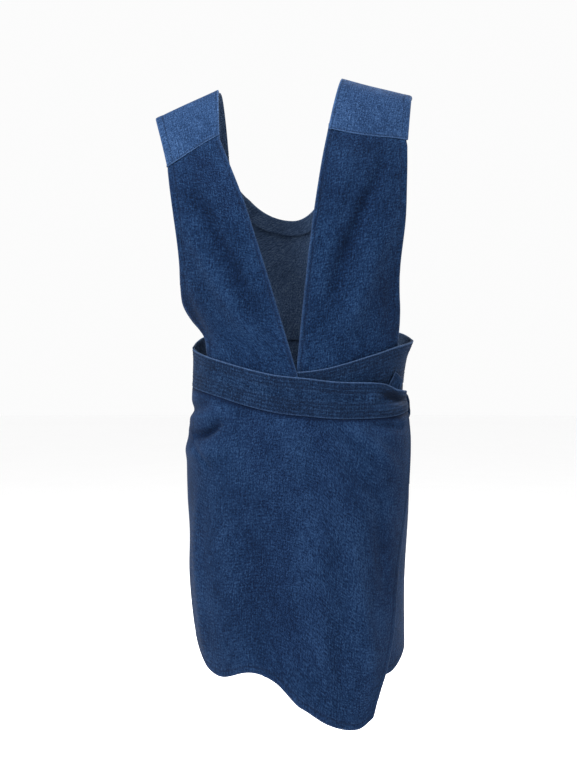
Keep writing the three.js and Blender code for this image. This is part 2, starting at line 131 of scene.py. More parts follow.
# Front bib
NECK_LOW = -205
NECK_SHARE = 0.5  # the share of an armhole facing that is below the neckline's lowest point
BIB_BOTTOM = -400
BIB_NECK_SHARE = 0.6  # the share of the bib's upper edge that is the neckline
LEFT_BIB_EDGE = [[-410, -138], [-330, -148], [-230, -146], [-150, -162], [YOKE_SEAM, -186]]
RIGHT_BIB_EDGE = [[-410, 140], [-330, 148], [-230, 144], [-150, 154], [YOKE_SEAM, 172]]
ARMHOLE_FACING = 26
NECK_FACING = 24
FACING_START = 0.16  # the shares of the panel's height where the armhole facings start and stop
BACK_FACING_STOP = 0.97
FRONT_FACING_STOP = 0.98

# Waistbands: [angle, height]
SIDE_SEAM = 98
OUTER_BAND_END = 78
UNDER_END = -84
CROSSING = [-95, -40]  # the angles between which the outer wrap rises off the body
OUTER_BAND_TOP = [
    [-SIDE_SEAM, -409], [-50, -433], [-12, -458], [0, -463], [17, -469], [45, -471], [60, -480],
    [OUTER_BAND_END, -482],
]  # fmt: skip
OUTER_BAND_BOTTOM = [
    [-SIDE_SEAM, -468], [-50, -486], [-12, -512], [0, -518], [17, -523], [44, -522], [62, -518],
    [OUTER_BAND_END, -512],
]  # fmt: skip
UNDER_BAND_TOP = [[UNDER_END, -425], [-40, -447], [0, -454], [37, -429], [60, -414], [SIDE_SEAM, -400]]
UNDER_BAND_WIDTH = 64
FRONT_BAND_TOP = [[SIDE_SEAM, -400], [125, -387], [180, -384], [235, -393], [360 - SIDE_SEAM, -409]]
FRONT_BAND_WIDTH = 65

# Hems: [angle, height]
OUTER_HEM = [
    [-SIDE_SEAM, -842], [-80, -862], [-60, -894], [-45, -903], [-25, -892], [-12, -905],
    [0, -943], [12, -967], [28, -975], [40, -957],
]  # fmt: skip
UNDER_HEM = [[UNDER_END, -858], [-40, -876], [0, -890], [50, -902], [75, -880], [SIDE_SEAM, -864]]
FRONT_HEM = [[SIDE_SEAM, -864], [180, -872], [360 - SIDE_SEAM, -842]]
FREE_EDGE = [[0, 38], [0.08, 42.5], [0.14, 47], [0.3, 56], [1, 77]]  # [share of the height, angle]

# Pockets
POCKET_ANGLES = {"right": [126, 171], "left": [189, 234]}
POCKET_TOP = -500
POCKET_DEPTH = 165
POCKET_STANDOFF = 14
POCKET_HEM = [17, 22]  # the two stitched lines of the mouth's hem

# About how large each piece is, across and up. The grid's cells are counted from it.
YOKE_SIZE = (100, 260)
BACK_PANEL_SIZE = (140, 350)
BIB_SIZE = (300, 300)
BACK_FACING_SIZE = (ARMHOLE_FACING, 300)
FRONT_FACING_SIZE = (ARMHOLE_FACING, 280)
NECK_FACING_SIZE = (330, NECK_FACING)
BAND_HEIGHT = 65
BAND_LENGTHS = {"outer_waistband": 440, "under_waistband": 420, "front_waistband": 390}
SKIRT_SIZES = {"outer": (430, 460), "under": (420, 440), "front": (420, 420)}
POCKET_SIZE = (125, POCKET_DEPTH)
STRIP_LENGTH = 52
LEAD_LENGTH = 50

# Closure
BUTTON = {"angle": -80, "height": -458, "lift": -13, "radius": 7.5, "thickness": 2.6}
KNOT = {"angle": 98, "height": -506, "lift": 6.5, "size": [44, 11, 42]}
TIE_WIDTH = 22
SIDE_RADIUS = 145  # the body's radius at its right side, which turns a width into an angle
PINCHED = 0.6  # the share of a tie's width where it enters the knot
TIE_END = {"angle": 57.5, "bottom": -479, "length": 24, "lean": 30, "lift": 3, "narrowest": 1}
TIE_TAIL = {"angle": 106, "bottom": -628, "length": 110, "lean": 0, "lift": 4.2, "narrowest": PINCHED}
SIDE_TIE = {"angles": [104, 122], "heights": [-496, -470], "lifts": [5, 3.4]}
LEAD_TIE = {"angles": [93, 74], "heights": [-505, -499], "lifts": [7, 2.6]}

# The tuck at the outer band's right end: each hollow's and lump's place, half size, tilt and height
BAND_END_LUMPS = [
    ((150, -490), (17, 8), -0.25, -4.5),
    ((146, -506), (24, 6.5), 0.12, 7),
    ((126, -474), (20, 5), -0.15, 3.5),
    ((118, -492), (10, 9), 0.6, 3.5),
    ((160, -479), (9, 5), -0.45, 5),
]

# The points, in metres, between which the skirt's loose corner was to fold open onto its own body; they are
# read, but nothing here folds the corner
CORNER_FOLD_FROM = (0.0630, -0.143, -0.9700)
CORNER_FOLD_TO = (0.1068, -0.143, -0.9803)

# Unevenness of each cloth: the height and length of its waves, and the seed of their directions
RIPPLES = {
    "yoke_left": (0.8, 90, 3),
    "yoke_right": (0.8, 90, 4),
    "back_panel": (1.1, 110, 7),
    "bib": (1.6, 120, 31),
    "outer_waistband": (0.9, 70, 41),
    "under_waistband": (0.9, 70, 51),
    "front_waistband": (0.9, 70, 61),
    "outer_skirt": (1.3, 130, 71),
    "front_skirt": (1.2, 140, 77),
    "pocket": (0.9, 60, 81),
    "tie": (0.5, 22, 91),
}

# Seams: distance of each stitched line from the edge
HEM_LINE = 9
EDGE_LINE = 5.5
ARMHOLE_LINE = 11
YOKE_LINE = 2.2
NECK_LINE = 3
TIE_LINE = 2.6
POCKET_LINES = [2.5, 8]
BAND_LINES_TOP = [3.5, 9, 14.5]
BAND_LINES_BOTTOM = [3.5, 9, 14.5, 20]
FOLD_FADE_AND_SHADE = 0.006  # how much paler the cloth is painted for each millimetre a fold stands out, as denim fades on ridges, and how much darker for each millimetre it sinks, as painted shade; the painted shade of seams, the tuck and the band's edge goes through it too
STITCH = 3.1  # length of a stitch
STITCH_GAP = 0.9
STITCH_PROFILE = [  # along a stitch: the share of its length, of its half width and of its height
    (-0.5, 0.15, -0.35),
    (-0.36, 0.85, 0.05),
    (0, 1, 0.25),
    (0.36, 0.85, 0.05),
    (0.5, 0.15, -0.35),
]
THREAD_SIDES = 5
HEM_WEAR = 0.35  # how far the dye is rubbed off along a hem, and along a band's edge
BAND_WEAR = 0.8
SEAM_WEAR = 0.05
TUCK_SHADE = 7  # how much darker the hollow of the band's tuck is painted, as painted shade, beyond what its depth alone paints
SEAM_SHADE = 8  # how much darker a stitched line's groove is painted, as painted shade, in millimetres of relief
BAND_EDGE_SHADOW = 24  # painted shadow on the skirt just under its band's lower edge, in millimetres of relief
THREAD = 0.38  # half the thread's width

# The stage, in metres and watts: name, place, aim, diameter and power of each light
FLOOR = -1.16
FLOOR_RINGS = [0.5, 1.5, 4, 10, 30]
FLOOR_SIDES = 96
SURROUND = 0.97
LIGHTS = [
    ("key", (-1.4, -1.9, 1.5), (0, 0, -0.4), 0.8, 150),
    ("fill", (2.0, -1.9, 0.2), (0, 0, -0.5), 1.6, 12),
    ("top", (-0.2, -0.5, 1.6), (0, 0, -0.2), 0.8, 30),
    ("front_key", (1.4, 1.9, 1.5), (0, 0, -0.4), 0.9, 140),
    ("front_fill", (-2.0, 1.8, 0.2), (0, 0, -0.5), 1.6, 12),
]

# Where folds fade out: above a back panel's lower end, below the yoke's seam, above the bib's lower end,
# below a skirt's band, and forwards where the front skirt's own folds take over from the outer wrap's
PANEL_FADE = [6, 46]
YOKE_FADE = [-44, -6]
BIB_FADE = [10, 60]
SKIRT_FADE = 14
FRONT_FADE = [20, 62]
PRESS_GAP = 3  # how deep a fold goes before it presses in the cloth beneath

# How far the right side's upper band edge stands away, and the places and heights that it grows over
FLARE = {"height": 5, "across": [140, 176], "up": [-434, -398]}

# Soft folds. Each is a path of (x, z) as seen from behind, the fold's half width and its height, which is
# negative for a valley.
LEFT_PANEL_FOLDS = [
    ([(-160, -150), (-142, -200), (-112, -262), (-66, -345), (-22, -412)], 12, -9),
    ([(-160, -226), (-128, -290), (-84, -366), (-30, -436)], 14, 8),
    ([(-168, -320), (-150, -372), (-120, -420)], 9, -5),
    ([(-118, -128), (-88, -200), (-60, -270)], 20, 2.2),
]
RIGHT_PANEL_FOLDS = [
    ([(142, -128), (114, -190), (84, -262), (54, -352)], 11, -8),
    ([(150, -206), (122, -280), (92, -360), (60, -424)], 16, 6),
    ([(84, -120), (66, -200), (48, -290), (30, -370)], 12, 3.2),
    ([(150, -300), (146, -380)], 12, -3.5),
]
PINCH_FOLDS = [
    ([(-184, -514), (-152, -509), (-122, -498)], 9, -5.5),
    ([(-186, -531), (-172, -529), (-160, -526)], 8, -3.5),
    ([(-154, -550), (-132, -545), (-106, -528)], 7.5, -13),
    ([(-154, -556), (-140, -574), (-122, -600)], 5, -3.5),
    ([(-160, -524), (-132, -518), (-100, -508)], 7, 3),
    ([(-178, -570), (-128, -574), (-84, -560)], 12, 4),
]
UNDER_SKIRT_FOLDS = [
    ([(150, -560), (158, -680), (150, -800), (140, -880)], 14, 4),
    ([(128, -700), (126, -800), (118, -900)], 12, -4),
]
FRONT_SKIRT_FOLDS = [
    ([(0, -470), (4, -600), (-2, -740), (2, -870)], 22, -5),
    ([(-30, -520), (-38, -680), (-44, -860)], 20, 4.5),
    ([(34, -520), (42, -680), (46, -860)], 20, 4.5),
    ([(-120, -680), (-126, -780), (-128, -850)], 18, 5),
    ([(118, -690), (124, -780), (126, -856)], 18, 5),
    ([(-84, -690), (-86, -780), (-88, -860)], 18, -4),
    ([(82, -690), (84, -780), (86, -864)], 18, -4),
]
OUTER_SKIRT_FOLDS = [
    ([(-143, -630), (-145, -703), (-140, -780), (-134, -853), (-126, -890)], 7, 5),
    ([(-60, -640), (-52, -720), (-44, -830), (-40, -900)], 36, -6),
    ([(20, -600), (34, -720), (46, -850), (52, -950)], 22, 2.6),
    ([(108, -530), (138, -532), (166, -536)], 7, -6),
    ([(78, -532), (116, -560), (152, -596)], 10, 6),
    ([(70, -580), (112, -622), (146, -652)], 11, -4),
    ([(84, -700), (98, -790), (112, -870), (116, -940)], 15, 5),
    ([(122, -640), (132, -730), (140, -800)], 12, -4),
    ([(60, -790), (68, -880), (74, -960)], 14, -3.5),
    ([(-20, -528), (8, -548), (36, -552)], 12, 2),
]


# ---------------------------------------------------------------- surfaces of the body space


def along(stations, place):
    """The value at a place on the smooth curve through [place, value] stations."""
    places, values = np.array(stations, float).T
    slopes = np.gradient(values, places, edge_order=1)
    slopes[1:-1] = (values[2:] - values[:-2]) / (places[2:] - places[:-2])
    place = np.clip(place, places[0], places[-1])
    i = np.clip(np.searchsorted(places, place, side="left") - 1, 0, len(places) - 2)
    width = places[i + 1] - places[i]
    t = (place - places[i]) / width
    rise = 3 * t**2 - 2 * t**3
    leave = (t - 2 * t**2 + t**3) * width * slopes[i]
    arrive = (t**3 - t**2) * width * slopes[i + 1]
    return values[i] + (values[i + 1] - values[i]) * rise + leave + arrive


def mix(a, b, share):
    return a + (b - a) * share


def smoothstep(value, low, high):
    t = np.clip((value - low) / (high - low), 0, 1)
    return t * t * (3 - 2 * t)


def bell(distance, width):
    return np.exp(-((distance / width) ** 2))


def span(z):
    """Middle and half width of the body space at a height."""
    left, right = along(LEFT_SIDE, z), along(RIGHT_SIDE, z)
    return (left + right) / 2, (right - left) / 2


def outline(angle, z):
    """A point of the body's outline."""
    turn = np.radians(angle)
    sine, cosine = np.sin(turn), np.cos(turn)
    middle, half = span(z)
    depth = np.where(cosine > 0, along(BACK_DEPTH, z), along(FRONT_DEPTH, z))
    across = np.sign(sine) * np.abs(sine) ** (2 / ROUNDNESS)
    return np.stack([middle + half * across, depth * np.abs(cosine) ** (2 / ROUNDNESS), z + 0 * depth], -1)


def shoulder_fall(x):
    """How far a strap at this place across has fallen with the shoulder's slope."""
    left, right = np.maximum(-x - LEFT_SLOPE_START, 0), np.maximum(x - RIGHT_SLOPE_START, 0)
    return LEFT_SLOPE * left + RIGHT_SLOPE * right


def depth_share(x, z):
    middle, half = span(z)
    out = np.minimum(np.abs(x - middle) / half, 1)
    return (1 - out**ROUNDNESS) ** (1 / ROUNDNESS)


def back_surface(x, z):
    return bodice(BACK_DEPTH, x, z)


def front_surface(x, z):
    return bodice(FRONT_DEPTH, x, z)


def bodice(depths, x, z):
    fall = shoulder_fall(x) * smoothstep(z, *SLOPE_ENDS)
    return np.stack([x + 0 * z, along(depths, z) * depth_share(x, z), z - fall], -1)


def bezier(points, t):
    a, b, c, d = (np.array(p, float) for p in points)
    t = t[..., None]
    s = 1 - t
    return a * s**3 + 3 * b * s**2 * t + 3 * c * s * t**2 + d * t**3


def shoulder(x, share):
    """A point over the shoulder: the share runs from the back seam, 0, to the front seam, 1."""
    back_seam = [BACK_DEPTH[-1][1], YOKE_SEAM]
    front_seam = [FRONT_DEPTH[-1][1], YOKE_SEAM]
    crest_back, crest_front = [CREST_FLAT[0], 0], [CREST_FLAT[1], 0]
    t = np.clip(share * 3, 0, 3)
    back = bezier([back_seam, *BACK_BEND, crest_back], np.clip(t, 0, 1))
    flat = mix(np.array(crest_back, float), np.array(crest_front, float), np.clip(t - 1, 0, 1)[..., None])
    front = bezier([crest_front, *FRONT_BEND, front_seam], np.clip(t - 2, 0, 1))
    side = np.where((t < 1)[..., None], back, np.where((t < 2)[..., None], flat, front))
    return np.stack([x, side[..., 0] * depth_share(x, side[..., 1]), side[..., 1] - shoulder_fall(x)], -1)


def lifted(surface, a, b, steps, offset):
    """A point of a surface moved out along its normal."""
    over_a = surface(a + steps[0], b) - surface(a - steps[0], b)
    over_b = surface(a, b + steps[1]) - surface(a, b - steps[1])
    normal = np.cross(over_a, over_b)
    normal /= np.linalg.norm(normal, axis=-1, keepdims=True)
    return surface(a, b) + normal * np.asarray(offset + 0 * a)[..., None]


def round_body(angle, z, offset):
    return lifted(outline, angle, z, (0.5, 2), offset)


def on_back(x, z, offset):
    return lifted(back_surface, x, z, (1, 1), offset)


def on_front(x, z, offset):
    return lifted(front_surface, x, z, (1, 1), -offset)


def on_shoulder(x, share, offset):
    return lifted(shoulder, x, np.clip(share, 0.003, 0.997), (1, 0.002), offset)


def outer_wrap(angle):
    return WRAP_SPACE * smoothstep(angle, *CROSSING)


def under_wrap(angle):
    return outer_wrap(angle) - WRAP_SPACE


def angle_at(x, z):
    middle, half = span(z)
    out = np.clip((x - middle) / half, -1, 1)
    return np.degrees(np.arcsin(np.sign(out) * np.abs(out) ** (ROUNDNESS / 2)))


def sink_inside(z, bottom, depth):
    """How deep a bodice panel lies as it goes down inside its waistband."""
    return depth * (1 - smoothstep(z, bottom + BAND_TUCK, bottom + SINK_OVER))


# ---------------------------------------------------------------- cloth


def unit(vectors):
    return vectors / np.maximum(np.linalg.norm(vectors, axis=-1, keepdims=True), 1e-9)


def ripple(points, size, seed):
    """Smooth, repeatable unevenness between about -1 and 1, in waves of about the given size."""
    random = np.random.default_rng(seed)
    total = np.zeros(points.shape[:-1])
    for _ in range(7):
        direction = unit(random.normal(size=3))
        wave = size * random.uniform(0.7, 1.5)
        total += np.sin(points @ direction * 2 * math.pi / wave + random.uniform(0, 2 * math.pi))
    return total / 3.5


def fold_relief(points, folds):
    """The height of soft folds along paths of (x, z), tapering off at both ends of each path."""
    relief = np.zeros(points.shape[:-1])
    flat = points[..., [0, 2]]
    for path, width, height in folds:
        knots = np.array(path, float)
        lengths = np.cumsum([0, *np.linalg.norm(np.diff(knots, axis=0), axis=1)])
        steps = np.linspace(0, lengths[-1], 28)
        line = np.stack([along(np.stack([lengths, knots[:, k]], 1), steps) for k in range(2)], 1)
        offset = flat[..., None, :] - line
        distance = np.linalg.norm(offset, axis=-1)
        nearest = distance.argmin(-1)
        taper = np.sin(np.pi * (nearest + 0.5) / len(line)) ** 0.6
        relief += height * taper * bell(distance.min(-1), width)
    return relief


def unevenness(points, piece):
    height, length, seed = RIPPLES[piece]
    return height * ripple(points, length, seed)


def new_mesh(name, points, faces):
    """A smooth mesh from points in millimetres."""
    made = bpy.data.meshes.new(name)
    made.from_pydata((np.array(points) * MM).tolist(), [], faces)
    made.polygons.foreach_set("use_smooth", np.ones(len(faces), bool))
    made.update()
    return made


def paint(mesh, weave, corners, wear, relief):
    """Gives a mesh its weave coordinates, and the values at each point that the denim reads."""
    layer = mesh.uv_layers.new(name="weave")
    layer.data.foreach_set("uv", (weave * MM)[corners].ravel())
    for attribute, values in (("wear", wear), ("relief", relief)):
        layer = mesh.attributes.new(attribute, "FLOAT", "POINT")
        layer.data.foreach_set("value", values.ravel().astype(np.float32))


def ring_faces(rings, sides, first=0):
    """Faces between neighbouring rings of points."""
    faces = []
    for k in range(rings - 1):
        for j in range(sides):
            a, b = first + k * sides + j, first + k * sides + (j + 1) % sides
            faces.append((a, b, b + sides, a + sides))
    return faces


def tube_faces(rings, sides, first=0):
    """The same, with both ends closed."""
    last = first + (rings - 1) * sides
    ends = [tuple(range(first + sides - 1, first - 1, -1)), tuple(range(last, last + sides))]
    return ring_faces(rings, sides, first) + ends


class Cloth:
    """A sheet of cloth as a grid of points over the shares u, across it, and v, up it."""

    def __init__(self, place, size, mirrored=False, steps=(STEP, STEP)):
        columns, rows = (max(2, round(length / step)) for length, step in zip(size, steps))
        u, v = np.meshgrid(np.linspace(0, 1, columns + 1), np.linspace(0, 1, rows + 1))
        self.points = place(1 - u if mirrored else u, v)
        self.outer = np.zeros_like(u)
        self.inner = np.zeros_like(u)
        self.wear = np.zeros_like(u)
        # Paler on ridges as worn denim fades, and darker in hollows and grooves as painted shade, in
        # millimetres of relief
        self.shade = np.zeros_like(u)
        across = np.linalg.norm(np.diff(self.points, axis=1), axis=-1)
        up = np.linalg.norm(np.diff(self.points, axis=0), axis=-1)
        start = np.zeros((rows + 1, 1))
        self.from_left = np.hstack([start, np.cumsum(across, 1)])
        self.from_right = self.from_left[:, -1:] - self.from_left
        self.from_bottom = np.vstack([np.zeros((1, columns + 1)), np.cumsum(up, 0)])
        self.from_top = self.from_bottom[-1:] - self.from_bottom
        self.flat = (float(self.from_left[:, -1].max()), float(self.from_bottom[-1].max()))
        self.area = float((across[:-1] + across[1:]).ravel() @ (up[:, :-1] + up[:, 1:]).ravel() / 4)
        # The weave runs straight up the piece, whatever shape its edges are.
        middle = self.from_left[rows // 2]
        self.weave = np.stack([self.from_left - middle[-1] / 2, self.from_bottom], -1)

    def normals(self):
        return unit(np.cross(np.gradient(self.points, axis=1), np.gradient(self.points, axis=0)))

    def push(self, distance):
        """Moves the cloth out along its normals; its ridges are painted paler, as worn denim fades, and its
        hollows darker, as painted shade.
        """
        self.points = self.points + self.normals() * distance[..., None]
        self.shade = self.shade + distance

    def edge(self, name):
        return {
            "left": self.from_left,
            "right": self.from_right,
            "bottom": self.from_bottom,
            "top": self.from_top,
        }[name]

    def hem(self, name, line, seed=1, thick=1.0):
        """A turned edge: a second layer up to its stitched line, which the thread pulls in."""
        distance = self.edge(name)
        turned = 1 - smoothstep(distance, line + 0.5, line + 3.5)
        self.inner += CLOTH * thick * turned
        self.outer += 0.45 * thick * turned * smoothstep(distance, 0, 2.5)
        self.seam(name, line, seed)
        self.wear = np.maximum(self.wear, HEM_WEAR * (1 - smoothstep(distance, 0.3, 2.6)))

    def seam(self, name, line, seed=1, depth=0.4):
        """A stitched line pulls the cloth in, and the cloth puckers beside it."""
        distance = np.abs(self.edge(name) - line)
        pucker = 0.22 * ripple(self.points, 13, seed) * bell(distance, 5)
        self.outer += pucker - depth * bell(distance, 1.9)
        self.inner -= pucker
        self.wear = np.maximum(self.wear, SEAM_WEAR * bell(distance - 2.6, 1.8))
        # Painted shade in the stitched line's groove
        self.shade = self.shade - SEAM_SHADE * bell(distance, 1.6)

    def skin(self):
        """The points of the outer face."""
        return self.points + self.normals() * (CLOTH / 2 + self.outer)[..., None]

    def line_at(self, name, distance, start=0.0, end=1.0):
        """Points and normals of the outer face along a line at a distance from an edge."""
        away, skin, normals = self.edge(name), self.skin(), self.normals()
        if name in ("left", "right"):
            away, skin, normals = away.T, skin.transpose(1, 0, 2), normals.transpose(1, 0, 2)
        if away[0, 0] > away[-1, 0]:
            away, skin, normals = away[::-1], skin[::-1], normals[::-1]
        first, last = round(start * (away.shape[1] - 1)), round(end * (away.shape[1] - 1))
        found = []
        for k in range(first, last + 1):
            columns = [part[:, k, c] for part in (skin, normals) for c in range(3)]
            found.append([np.interp(distance, away[:, k], column) for column in columns])
        found = np.array(found)
        return found[:, :3], unit(found[:, 3:])

    def mesh(self, name):
        """The closed mesh: the outer face, a rounded rim and the inner face."""
        rows, columns = self.outer.shape
        count = rows * columns
        grid = np.arange(count).reshape(rows, columns)
        normals = self.normals()
        skin = self.points + normals * (CLOTH / 2 + self.outer)[..., None]
        back = self.points - normals * (CLOTH / 2 + self.inner)[..., None]
        loop = np.concatenate([grid[0, :-1], grid[:-1, -1], grid[-1, :0:-1], grid[:0:-1, 0]])
        inward = np.zeros_like(self.points)
        inward[0] += self.points[1] - self.points[0]
        inward[-1] += self.points[-2] - self.points[-1]
        inward[:, 0] += self.points[:, 1] - self.points[:, 0]
        inward[:, -1] += self.points[:, -2] - self.points[:, -1]
        middle = (skin + back) / 2
        rim = (middle - unit(inward) * CLOTH * 0.45).reshape(-1, 3)[loop]
        points = np.concatenate([skin.reshape(-1, 3), back.reshape(-1, 3), rim])

        quads = np.stack([grid[:-1, :-1], grid[:-1, 1:], grid[1:, 1:], grid[1:, :-1]], -1).reshape(-1, 4)
        after = np.roll(loop, -1)
        rim_at = 2 * count + np.arange(len(loop))
        rim_after = np.roll(rim_at, -1)
        outer_rim = np.stack([after, loop, rim_at, rim_after], 1)
        inner_rim = np.stack([rim_after, rim_at, loop + count, after + count], 1)
        faces = np.concatenate([quads, outer_rim, inner_rim, quads[:, ::-1] + count])
        sides = np.repeat([0, 1], [len(quads) + len(outer_rim), len(inner_rim) + len(quads)])

        def spread(values):
            flat = values.reshape(count, -1)
            return np.concatenate([flat, flat, flat[loop]])

        made = new_mesh(name, points, faces.tolist())
        made.polygons.foreach_set("material_index", sides.astype(np.int32))
        paint(made, spread(self.weave), faces.ravel(), spread(self.wear), spread(self.shade))
        return made


def stitch_mesh(name, lines):
    """One mesh of separate stitches along (points, normals) lines on the cloth."""
    turns = np.arange(THREAD_SIDES) * 2 * math.pi / THREAD_SIDES
    ring = np.stack([np.cos(turns), np.sin(turns)], 1)
    points, faces = [], []
    for line, normals in lines:
        lengths = np.concatenate([[0], np.cumsum(np.linalg.norm(np.diff(line, axis=0), axis=1))])
        centres = np.arange(STITCH, lengths[-1] - STITCH / 2, STITCH + STITCH_GAP)

        def at(values, where, lengths=lengths):
            return np.stack([np.interp(where, lengths, values[:, c]) for c in range(3)], 1)

        middle, normal = at(line, centres), unit(at(normals, centres))
        ahead = unit(at(line, centres + STITCH / 2) - at(line, centres - STITCH / 2))
        side = unit(np.cross(ahead, normal))
        for m, n, a, s in zip(middle, normal, ahead, side):
            faces += tube_faces(len(STITCH_PROFILE), THREAD_SIDES, len(points))
            for place, width, height in STITCH_PROFILE:
                for c, q in ring * THREAD * width:
                    points.append(m + a * place * STITCH + s * c + n * (q * 0.8 + height * THREAD * 2))
    return new_mesh(name, points, faces)


# ---------------------------------------------------------------- materials


def node(tree, kind, inputs=None, **settings):
    """A new node with its settings and inputs: a value, or a socket to link from."""
    made = tree.nodes.new(kind)
    for key, value in settings.items():
        setattr(made, key, value)
    for key, value in (inputs or {}).items():
        if isinstance(value, bpy.types.NodeSocket):
            tree.links.new(value, made.inputs[key])
        else:
            made.inputs[key].default_value = value
    return made


def blank_material(name):
    material = bpy.data.materials.new(name)
    material.use_nodes = True
    tree = material.node_tree
    shader = tree.nodes["Principled BSDF"]
    return material, tree, shader


def calculate(tree, operation, a, b, clamp=False):
    return node(tree, "ShaderNodeMath", {0: a, 1: b}, operation=operation, use_clamp=clamp).outputs[0]


def stretched_noise(tree, weave, scale, detail=3.0, roughness=0.6):
    """Noise over the weave, with its own scale along the weft and the warp."""
    mapped = node(tree, "ShaderNodeMapping", {"Vector": weave, "Scale": (*scale, 1)})
    made = node(
        tree,
        "ShaderNodeTexNoise",
        {"Vector": mapped.outputs[0], "Scale": 1.0, "Detail": detail, "Roughness": roughness},
    )
    return made.outputs["Fac"]


def scaled(tree, value, factor):
    return calculate(tree, "MULTIPLY", value, factor)


def total(tree, *values):
    result = values[0]
    for value in values[1:]:
        result = calculate(tree, "ADD", result, value)
    return result


def denim(name, dark, middle, pale):
    """Twill denim: indigo warp over a pale weft, with slubs, speckle and rubbed edges; ridges are faded
    paler and hollows get painted shade.
    """
    material, tree, shader = blank_material(name)
    weave = node(tree, "ShaderNodeUVMap", uv_map="weave").outputs[0]
    speckle = stretched_noise(tree, weave, (430, 330), detail=3.0, roughness=0.75)
    warp = stretched_noise(tree, weave, (700, 50), detail=2.0)
    weft = stretched_noise(tree, weave, (60, 520), detail=2.0)
    mottle = stretched_noise(tree, weave, (24, 17), detail=4.0)
    threads = total(tree, scaled(tree, speckle, 0.66), scaled(tree, warp, 0.28), scaled(tree, weft, 0.2))
    # Ridges paler, as worn denim fades; hollows, seam grooves, the band's tuck and the skirt under its band
    # darker, as painted shade
    relief = node(tree, "ShaderNodeAttribute", attribute_name="relief").outputs["Fac"]
    tone = total(tree, threads, scaled(tree, mottle, 0.2), scaled(tree, relief, FOLD_FADE_AND_SHADE), -0.17)
    tone = calculate(tree, "MULTIPLY", tone, 1.0, clamp=True)
    ramp = node(tree, "ShaderNodeValToRGB", {"Fac": tone})
    stops = ramp.color_ramp.elements
    stops[0].position, stops[0].color = 0.4, (*dark, 1)
    stops[1].position, stops[1].color = 0.64, (*pale, 1)
    stops.new(0.5).color = (*middle, 1)

    wear = node(tree, "ShaderNodeAttribute", attribute_name="wear").outputs["Fac"]
    rubbed = calculate(tree, "MULTIPLY", wear, calculate(tree, "MULTIPLY", threads, 1.15), clamp=True)
    colour = node(tree, "ShaderNodeMix", data_type="RGBA")
    tree.links.new(rubbed, colour.inputs["Factor"])
    # The colour sockets of this node share their names with its number sockets, so they go by index.
    tree.links.new(ramp.outputs["Color"], colour.inputs[6])
    colour.inputs[7].default_value = (*[2.0 * channel + 0.02 for channel in pale], 1)
    tree.links.new(colour.outputs[2], shader.inputs["Base Color"])

    slanted = node(tree, "ShaderNodeMapping", {"Vector": weave, "Rotation": (0, 0, math.radians(63))})
    ridges = {"Scale": 330.0, "Distortion": 1.2, "Detail": 1.0, "Detail Scale": 1.5}
    twill = node(tree, "ShaderNodeTexWave", {"Vector": slanted.outputs[0], **ridges}).outputs["Fac"]
    height = total(tree, scaled(tree, twill, 0.4), threads)
    bump = node(tree, "ShaderNodeBump", {"Height": height, "Strength": 0.75, "Distance": 0.0006})
    tree.links.new(bump.outputs[0], shader.inputs["Normal"])
    tree.links.new(total(tree, scaled(tree, speckle, 0.16), 0.8), shader.inputs["Roughness"])
    shader.inputs["Specular IOR Level"].default_value = 0.04
    shader.inputs["Sheen Weight"].default_value = 0.02
    shader.inputs["Sheen Roughness"].default_value = 0.5
    shader.inputs["Sheen Tint"].default_value = (0.5, 0.68, 1.0, 1)
    return material


def plain_noise(tree, inputs):
    place = node(tree, "ShaderNodeTexCoord").outputs["Object"]
    return node(tree, "ShaderNodeTexNoise", {"Vector": place, **inputs}).outputs["Fac"]


def two_tone(tree, shader, value, dark, pale):
    """Colours a shader between two shades by a value from 0 to 1."""
    ramp = node(tree, "ShaderNodeValToRGB", {"Fac": value})
    ramp.color_ramp.elements[0].color = (*dark, 1)
    ramp.color_ramp.elements[1].color = (*pale, 1)
    tree.links.new(ramp.outputs["Color"], shader.inputs["Base Color"])


def bump_up(tree, shader, height, strength):
    bump = node(tree, "ShaderNodeBump", {"Height": height, "Strength": strength, "Distance": 0.0002})
    tree.links.new(bump.outputs[0], shader.inputs["Normal"])


def thread_material(name, dark, pale):
    """Twisted cotton thread."""
    material, tree, shader = blank_material(name)
    fibres = plain_noise(tree, {"Scale": 2600.0, "Detail": 2.0})
    two_tone(tree, shader, fibres, dark, pale)
    bump_up(tree, shader, fibres, 0.5)
    shader.inputs["Roughness"].default_value = 0.85
    shader.inputs["Specular IOR Level"].default_value = 0.1
    return material


def button_material():
    """Moulded plastic with a cloudy swirl."""
    material, tree, shader = blank_material("button_plastic")
    cloud = plain_noise(tree, {"Scale": 320.0, "Detail": 4.0, "Distortion": 1.5})
    two_tone(tree, shader, cloud, (0.012, 0.018, 0.034), (0.05, 0.07, 0.11))
    tree.links.new(total(tree, scaled(tree, cloud, 0.2), 0.22), shader.inputs["Roughness"])
    bump_up(tree, shader, cloud, 0.15)
    return material


# Each denim's dark, middle and pale colour
DENIMS = {
    # The yoke's denim is paler than the rest: painted light from above, falling on the shoulders
    "yoke": ["denim_yoke", (0.0042, 0.0122, 0.034), (0.0088, 0.025, 0.068), (0.0305, 0.065, 0.14)],
    "panel": ["denim_panel", (0.0009, 0.0038, 0.0135), (0.0028, 0.0106, 0.034), (0.012, 0.033, 0.081)],
    "band": ["denim_band", (0.0009, 0.0035, 0.0115), (0.0026, 0.0097, 0.029), (0.0125, 0.0305, 0.071)],
    "skirt": ["denim_skirt", (0.0012, 0.0047, 0.0165), (0.0034, 0.0118, 0.0365), (0.0125, 0.032, 0.077)],
    "lining": ["denim_wrong_side", (0.009, 0.017, 0.037), (0.018, 0.033, 0.065), (0.045, 0.068, 0.112)],
}
SHADES = {shade: denim(*look) for shade, look in DENIMS.items()}
THREAD_SHADE = thread_material("indigo_thread", (0.0025, 0.007, 0.02), (0.006, 0.016, 0.042))


